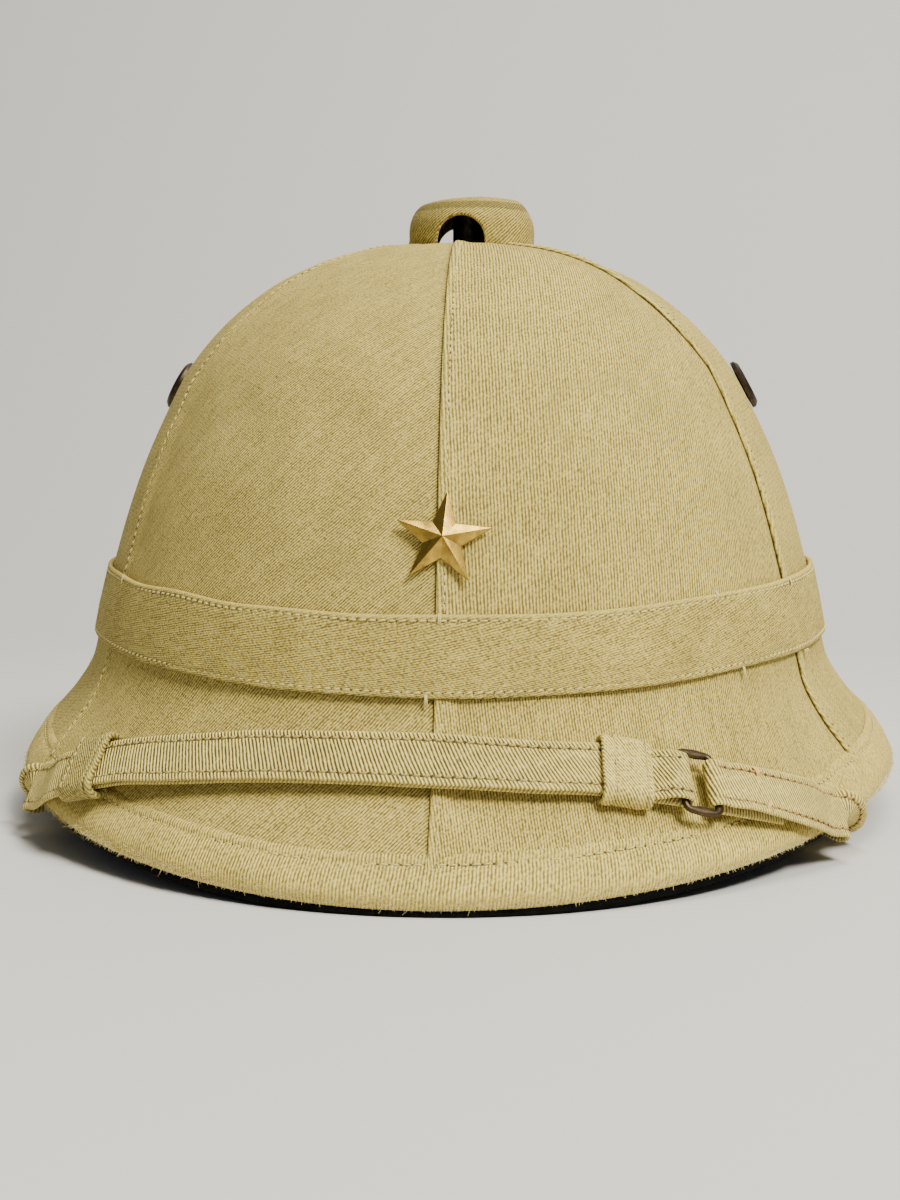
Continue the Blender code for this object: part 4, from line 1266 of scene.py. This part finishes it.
STRAP_GROOVE = 0.69
STRAP_SECTION = (
    # share of half width, share of half thickness
    (-0.93, 0.98),
    (-0.85, 1.06),
    (-0.75, 0.96),
    (-0.69, 0.66),
    (-0.62, 0.97),
    (-0.5, 1.05),
    (-0.3, 1.08),
    (0.0, 1.08),
    (0.3, 1.08),
    (0.5, 1.05),
    (0.62, 0.97),
    (0.69, 0.66),
    (0.75, 0.96),
    (0.85, 1.06),
    (0.93, 0.98),
    (0.985, 0.6),
    (1.0, 0.0),
    (0.985, -0.6),
    (0.93, -0.98),
    (0.69, -0.95),
    (0.3, -1.0),
    (-0.3, -1.0),
    (-0.69, -0.95),
    (-0.93, -0.98),
    (-0.985, -0.6),
    (-1.0, 0.0),
    (-0.985, 0.6),
)


def make_strap(name, cad_node, stations, material, leans):
    """A strap along its stations, its ribs leaning from one angle to another along it."""
    points, outs = smooth_stations(stations)
    tangents = unit(np.gradient(points, axis=0))
    across = unit(np.cross(outs, tangents))
    outs = unit(np.cross(tangents, across))
    length = arc_lengths(points)
    from_middle, thickness = np.array(STRAP_SECTION).T
    half_width = 0.5 * STRAP_WIDTH + 0.12 * uneven(points, 16.0, 1)
    wide = from_middle * half_width[:, None]
    near = np.exp(-(((np.abs(from_middle) - STRAP_GROOVE) / 0.06) ** 2)) * (thickness > 0)
    thick = 0.5 * STRAP_CLOTH * thickness - 0.1 * near * np.cos(2.0 * math.pi * length / STITCH_PITCH)[:, None]
    curl = 0.14 * uneven(points, 26.0, 4)
    wave = 0.06 * uneven(points, 7.0, 2)
    thick = thick + curl[:, None] * from_middle + wave[:, None] * (thickness > 0)
    body = points[:, None, :] + across[:, None, :] * wide[..., None] + outs[:, None, :] * thick[..., None]
    lean = np.tan(np.radians(np.interp(length, (length[0], length[-1]), leans)))
    # The rubbed edges are lighter; the stitch grooves are darkened as painted shade.
    wear_and_shade = np.where(np.abs(from_middle) > 0.9, 0.25, 0.0)
    wear_and_shade = wear_and_shade - 0.12 * (np.abs(np.abs(from_middle) - STRAP_GROOVE) < 0.02)
    count, corners = wide.shape
    faces = grid_faces(count, corners, ring_columns=True).tolist()
    faces += [list(range(corners)), list(range(count * corners - 1, (count - 1) * corners - 1, -1))]
    mesh = mesh_of(name, body, faces, (wide, length[:, None] + wide * lean[:, None]), wear_and_shade)
    recalculate(mesh)
    piece = finish_piece(name, mesh, material, [cad_node], 70.0)
    return points, outs, across, half_width


def strap_stitches(threads, hole_shades, made, keep):
    """Two rows of stitches on the strap's outer face."""
    points, outs, across, half_width = made
    for side in (-STRAP_GROOVE, STRAP_GROOVE):
        path = points + across * (side * half_width)[:, None] + outs * (0.42 * STRAP_CLOTH)
        stitch_row(threads, hole_shades, path[keep], outs[keep], length=1.5, radius=0.34, slant=0.2, hole=0.5)


def nearest(points, place):
    return int(np.argmin(np.linalg.norm(points - place, axis=-1)))


def flipped(stations):
    """Stations of the strap's lower layer, which faces the brim."""
    return [(point, -facing) for point, facing in stations]


def make_straps():
    first = STRAP_ROUTE[0][0]
    last = STRAP_ROUTE[-1][0]
    half_buckle = degrees_along(BUCKLE_AROUND, 0.5 * BUCKLE_LENGTH)
    rise = degrees_along(BUCKLE_AROUND, BAR_RISE)
    left_bar = BUCKLE_AROUND - half_buckle
    right_bar = BUCKLE_AROUND + half_buckle
    route = inside_run(first - 1.2 * RIM_DRIFT, -1.0)[::-1]
    route += round_rim(first - RIM_LEAD, -1.0)[::-1]
    route += [on_roll(first + step) for step in (1.0, 2.6)]
    route += [on_brim(first + 5.0, BINDING_LAYER - 2.0 * BINDING_EASE)]
    route += [on_brim(first + 7.5, UPPER_LAYER - BINDING_EASE), on_brim(first + 10.0, UPPER_LAYER)]
    keeper = LEFT_KEEPER_AROUND
    tops = [row[0] for row in STRAP_ROUTE if keeper - 1.0 < row[0] < left_bar - 2.0 * rise]
    route += [on_brim(around, UPPER_LAYER) for around in tops + [left_bar - 1.25 * rise]]
    route += [on_brim(left_bar - 0.75 * rise, 0.5 * (UPPER_LAYER + OVER_BAR)), before_bar(1.0)] + round_bar(1.0)
    tail = keeper - degrees_along(keeper, 0.5 * KEEPER_LENGTH + 2.0)
    back = [left_bar - 0.5 * rise, left_bar - 1.25 * rise] + tops[::-1] + [tail]
    route += flipped([on_brim(around, LOWER_LAYER) for around in back])
    # lift=0.2 lightens the long strap's webbing beyond its own colour, as painted light on its steep face.
    webbing = twill("strap_twill", STRAP_KHAKI, 90.0, 0.96, 1.45, 0.45, seed=120.0, stains=0.15, rib=0.95,
                    lift=0.2)
    made = make_strap("chin_strap_long", "strap_long", route, webbing, (10.0, 40.0))
    threads = Threads()
    hole_shades = Threads()
    end = nearest(made[0], round_bar(1.0)[0][0])
    strap_stitches(threads, hole_shades, made, slice(40, end + 1))
    threads.build("long_strap_stitches", plain("brown_thread", STRAP_THREAD, 0.85))

    under = [SHORT_TAIL_AROUND, right_bar + 0.6 * rise]
    route = flipped([on_brim(around, LOWER_LAYER) for around in under])
    route += round_bar(-1.0)[::-1] + [before_bar(-1.0)]
    route += [on_brim(last - back, height) for back, height in SHORT_STRAP_RISE]
    route += [on_roll(last + step) for step in (-2.0, -1.0)]
    route += round_rim(last + RIM_LEAD, 1.0) + inside_run(last + 1.2 * RIM_DRIFT, 1.0)
    colour = scaled(STRAP_KHAKI, 0.95)
    webbing = twill("short_strap_twill", colour, 90.0, 0.82, 1.25, 0.4, seed=150.0, stains=0.2, rib=0.8,
                    lift=0.1)
    made = make_strap("chin_strap_short", "strap_short", route, webbing, (14.0, 14.0))
    points, outs, across, half_width = made
    threads = Threads()
    start = nearest(points, round_bar(-1.0)[0][0])
    strap_stitches(threads, hole_shades, made, slice(start, -8))
    tacks = Threads()
    for ahead, side in ((13, 0.72), (15, -0.62)):
        place = start + ahead
        along = unit(points[place + 1] - points[place])
        spot = points[place] + across[place] * (side * half_width[place]) + outs[place] * (0.6 * STRAP_CLOTH)
        bar_tack(tacks, spot, unit(across[place] * -side + 0.4 * along), outs[place], 2.8, 3, 0.6)
        loose_thread(tacks, spot, along, outs[place], 2.4, 0.12)
    tacks.build("short_strap_tacks", plain("orange_thread", ORANGE_THREAD, 0.8))
    threads.build("short_strap_stitches", plain("rust_thread", SHORT_STRAP_THREAD, 0.85))
    hole_shades.build("strap_needle_hole_shades", HOLE_SHADE_CLOTH)


LEFT_FOLDS = (
    # share of the length, height, wear where positive and painted shade in creases where negative
    (0.0, -0.1, 0.0),
    (0.06, 0.12, 0.1),
    (0.14, -0.02, -0.1),
    (0.22, 0.1, 0.0),
    (0.4, 0.1, 0.0),
    (0.6, 0.1, 0.0),
    (0.7, 0.2, 0.0),
    (0.76, 0.45, 0.3),
    (0.81, 0.4, 0.1),
    (0.845, 0.0, -0.85),
    (0.88, 0.4, 0.2),
    (0.94, 0.5, 0.45),
    (1.0, 0.1, 0.0),
)
RIGHT_FOLDS = (
    # share of the length, height, wear where positive and painted shade in creases where negative
    (0.0, -0.05, -0.2),
    (0.04, 0.2, 0.15),
    (0.12, 0.35, 0.1),
    (0.2, 0.25, 0.0),
    (0.26, 0.0, -0.25),
    (0.32, 0.2, 0.0),
    (0.45, 0.3, 0.0),
    (0.6, 0.3, 0.0),
    (0.75, 0.32, 0.05),
    (0.84, 0.22, 0.0),
    (0.89, 0.0, -0.4),
    (0.94, 0.15, 0.1),
    (1.0, 0.0, -0.1),
)


def make_keeper(word, around, folds, shade):
    """A loop of cloth round both layers of the strap, with folded ends."""
    centre, out = on_brim(around, 0.0)
    along = unit(on_brim(around + 0.5, 0.0)[0] - on_brim(around - 0.5, 0.0)[0])
    across = unit(np.cross(out, along))
    half_cloth = 0.5 * KEEPER_CLOTH
    low = GAP + half_cloth
    high = UPPER_LAYER + 0.5 * STRAP_CLOTH + KEEPER_EASE + half_cloth
    half = 0.5 * STRAP_WIDTH + KEEPER_SPARE + half_cloth
    radius = 0.5 * (high - low)
    middle = 0.5 * (high + low)
    outline = []
    for side in (1.0, -1.0):
        for angle in np.linspace(-0.5 * math.pi, 0.5 * math.pi, 13):
            facing = (side * math.cos(angle), side * math.sin(angle))
            outline.append((side * (half - radius) + radius * facing[0], middle + radius * facing[1], *facing))
        for share in np.linspace(0.0, 1.0, 17)[1:-1]:
            outline.append((side * (half - radius) * (1.0 - 2.0 * share), middle + side * radius, 0.0, side))
    outline_wide, outline_tall, facing_wide, facing_tall = np.array(outline).T
    end = 0.5 * KEEPER_LENGTH
    section = [((share - 0.5) * KEEPER_LENGTH, half_cloth + height, crease) for share, height, crease in folds]
    # Both turned-under ends and the underside are darkened as painted shade.
    section += [(end + 0.05, 0.0, -0.3), (end - 0.2, -half_cloth, -0.3)]
    section += [(0.2 - end, -half_cloth, -0.3), (-end - 0.05, 0.0, -0.3)]
    shift, rise, wear_and_shade = np.array(section).T[..., None]
    ring = np.stack([outline_wide, outline_tall], axis=-1)
    loop = arc_lengths(np.concatenate([ring, ring[:1]]))[:-1]
    wide = outline_wide + facing_wide * rise
    tall = outline_tall + facing_tall * rise
    points = centre + across * wide[..., None] + out * tall[..., None] + along * shift[..., None]
    wobble = 0.12 * uneven(points, 5.0, 3) + 0.06 * uneven(points, 2.5, 6)
    normal = across * facing_wide[:, None] + out * facing_tall[:, None]
    points = points + normal * (wobble * (rise > 0.2))[..., None]
    name = f"keeper_{word}"
    cloth = twill(f"{name}_twill", scaled(STRAP_KHAKI, shade), 52.0, 0.66, 1.25, seed=180.0, rib=0.4, grain=0.7)
    piece = ring_piece(name, f"strap_keeper_{word}", points, cloth, (loop, shift), wear_and_shade)
    return centre, out, along, across, half, high


def make_keepers():
    threads = Threads()
    for word, around, folds, shade, sewn in (("left", LEFT_KEEPER_AROUND, LEFT_FOLDS, 0.62, (0.14,)),
                                             ("right", RIGHT_KEEPER_AROUND, RIGHT_FOLDS, 1.04, (0.26, 0.89))):
        centre, out, along, across, half, high = make_keeper(word, around, folds, shade)
        wides = np.linspace(-half + 0.8, half - 0.8, 30)[:, None]
        for share in sewn:
            line = centre + across * wides + out * (high + 0.55) + along * ((share - 0.5) * KEEPER_LENGTH)
            stitch_row(threads, None, line, [out] * len(line), pitch=2.3, length=1.7, radius=0.18)
    threads.build("keeper_stitches", THREAD_CLOTH)


def make_buckle():
    """A rectangular loop of flattened wire with rounded corners."""
    centre, out, along, across = buckle_frame()
    half_long = 0.5 * BUCKLE_LENGTH
    half_wide = 0.5 * STRAP_WIDTH + BUCKLE_SPARE + BUCKLE_WIRE
    corners = []
    for quarter, (x_side, y_side) in enumerate(((1, 1), (-1, 1), (-1, -1), (1, -1))):
        middle = (x_side * (half_long - BUCKLE_CORNER), y_side * (half_wide - BUCKLE_CORNER))
        corners += arc(middle, BUCKLE_CORNER, 90.0 * quarter, 90.0 * quarter + 90.0, 9)
    corners = np.array(corners)
    route = []
    for start, stop in zip(corners, np.roll(corners, -1, axis=0)):
        count = max(int(np.linalg.norm(stop - start) / 0.5), 1)
        route += [start + (stop - start) * step / count for step in range(count)]
    route = np.array(route)
    tangent = np.roll(route, -1, axis=0) - np.roll(route, 1, axis=0)
    tangent = tangent / np.linalg.norm(tangent, axis=1, keepdims=True)
    turns = np.arange(16) * 2.0 * math.pi / 16
    swell = 1.0 + 0.45 * np.exp(-((route[:, 0] / (0.5 * half_long)) ** 2))
    wide = BUCKLE_WIRE * np.cos(turns) * swell[:, None]
    tall = BUCKLE_WIRE * 0.85 * np.sin(turns)
    flat_x = route[:, :1] + tangent[:, 1:] * wide
    flat_y = route[:, 1:] - tangent[:, :1] * wide
    points = centre + along * flat_x[..., None] + across * flat_y[..., None] + out * tall[:, None]
    dark = metal("buckle_metal", (0.11, 0.08, 0.045), (0.035, 0.025, 0.015), 0.38, 500.0)
    ring_piece("buckle", "strap_buckle", points, dark, smooth=60.0)


LOOSE_ENDS = 70


def make_loose_ends():
    """Stray thread ends and slubs that stand off the cloth."""
    threads = Threads()
    for _ in range(LOOSE_ENDS):
        row = random.uniform(2.5, 15.6)
        angle = random.uniform(-180.0, 180.0)
        if CROWN_END - 0.1 < row < BAND_END + 0.1:
            continue
        out, down, side = directions(row, angle)
        turn = random.uniform(0.0, 2.0 * math.pi)
        heading = down * math.cos(turn) + side * math.sin(turn)
        loose_thread(threads, lifted(row, angle, 0.35), heading, out, random.uniform(1.5, 4.0), 0.07)
    threads.build("loose_threads", THREAD_CLOTH)


# Camera, floor and light


def make_stage():
    """A pale floor that curves up into a backdrop."""
    size, back, curve = 2600.0, 900.0, 500.0
    profile = [(-size, 0.0), (back - curve, 0.0)]
    for step in range(1, 25):
        turn = math.radians(90.0 * step / 24)
        profile.append((back - curve + curve * math.sin(turn), curve * (1.0 - math.cos(turn))))
    profile.append((back, 2200.0))
    points = [(x, y, z - 0.05) for y, z in profile for x in (-size, size)]
    mesh = mesh_of("floor", points, grid_faces(len(profile), 2, flip=True))
    mesh.materials.append(plain("pale_floor", (0.66, 0.65, 0.63), 0.7))
    mesh.shade_smooth()
    floor = add_object("floor", mesh)


def soft_light(name, place, aim, size, power):
    data = bpy.data.lights.new(name, "AREA")
    data.shape = "DISK"
    data.size = size
    data.energy = power
    data.color = (1.0, 0.96, 0.86)
    lamp = add_object(name, data)
    lamp.location = place
    lamp.rotation_euler = (Vector(aim) - Vector(place)).to_track_quat("-Z", "Y").to_euler()


def make_lights():
    aim = (0.0, -0.05, 0.09)
    soft_light("key", (0.72, -0.85, 1.3), aim, 0.55, 42.0)
    soft_light("top", (0.25, -0.2, 1.75), aim, 0.9, 21.0)
    world = bpy.data.worlds.new("studio")
    world.use_nodes = True
    background = world.node_tree.nodes["Background"]
    set_inputs(world.node_tree, background, {"Color": (0.86, 0.93, 1.0, 1.0), "Strength": 0.13})
    bpy.context.scene.world = world


CAMERA_TURN = 3.0
CAMERA_PITCH = 5.0
CAMERA_REACH = 552.0
CAMERA_HEIGHT = 104.0
CAMERA_SHIFT = 3.5
FOCAL = 1803.0
PICTURE_HEIGHT = 1200.0
SENSOR = 36.0


def make_camera():
    turn, pitch = math.radians(CAMERA_TURN), math.radians(CAMERA_PITCH)
    right = Vector((math.cos(turn), math.sin(turn), 0.0))
    place = Vector((CAMERA_REACH * math.sin(turn), -CAMERA_REACH * math.cos(turn), CAMERA_HEIGHT))
    place -= right * CAMERA_SHIFT
    ahead = Vector((-math.sin(turn) * math.cos(pitch), math.cos(turn) * math.cos(pitch), -math.sin(pitch)))
    data = bpy.data.cameras.new("camera")
    data.sensor_fit = "AUTO"
    data.sensor_width = SENSOR
    data.lens = FOCAL / PICTURE_HEIGHT * SENSOR
    data.clip_start = 0.01
    data.clip_end = 20.0
    data.dof.use_dof = False
    camera = add_object("camera", data)
    camera.location = place * MM
    camera.rotation_euler = ahead.to_track_quat("-Z", "Y").to_euler()
    bpy.context.scene.camera = camera


THREAD_CLOTH = plain("sewing_thread", THREAD, 0.85)
# Painted shade in needle holes: a dark tone of the khaki.
HOLE_SHADE_CLOTH = plain("needle_hole_shade", scaled(KHAKI, 0.16), 1.0)
make_camera()
make_stage()
make_lights()
make_lining()
make_cover()
make_band()
make_rim_roll()
make_lint()
make_vent_button()
make_side_vents()
make_star()
make_straps()
make_keepers()
make_buckle()
make_loose_ends()
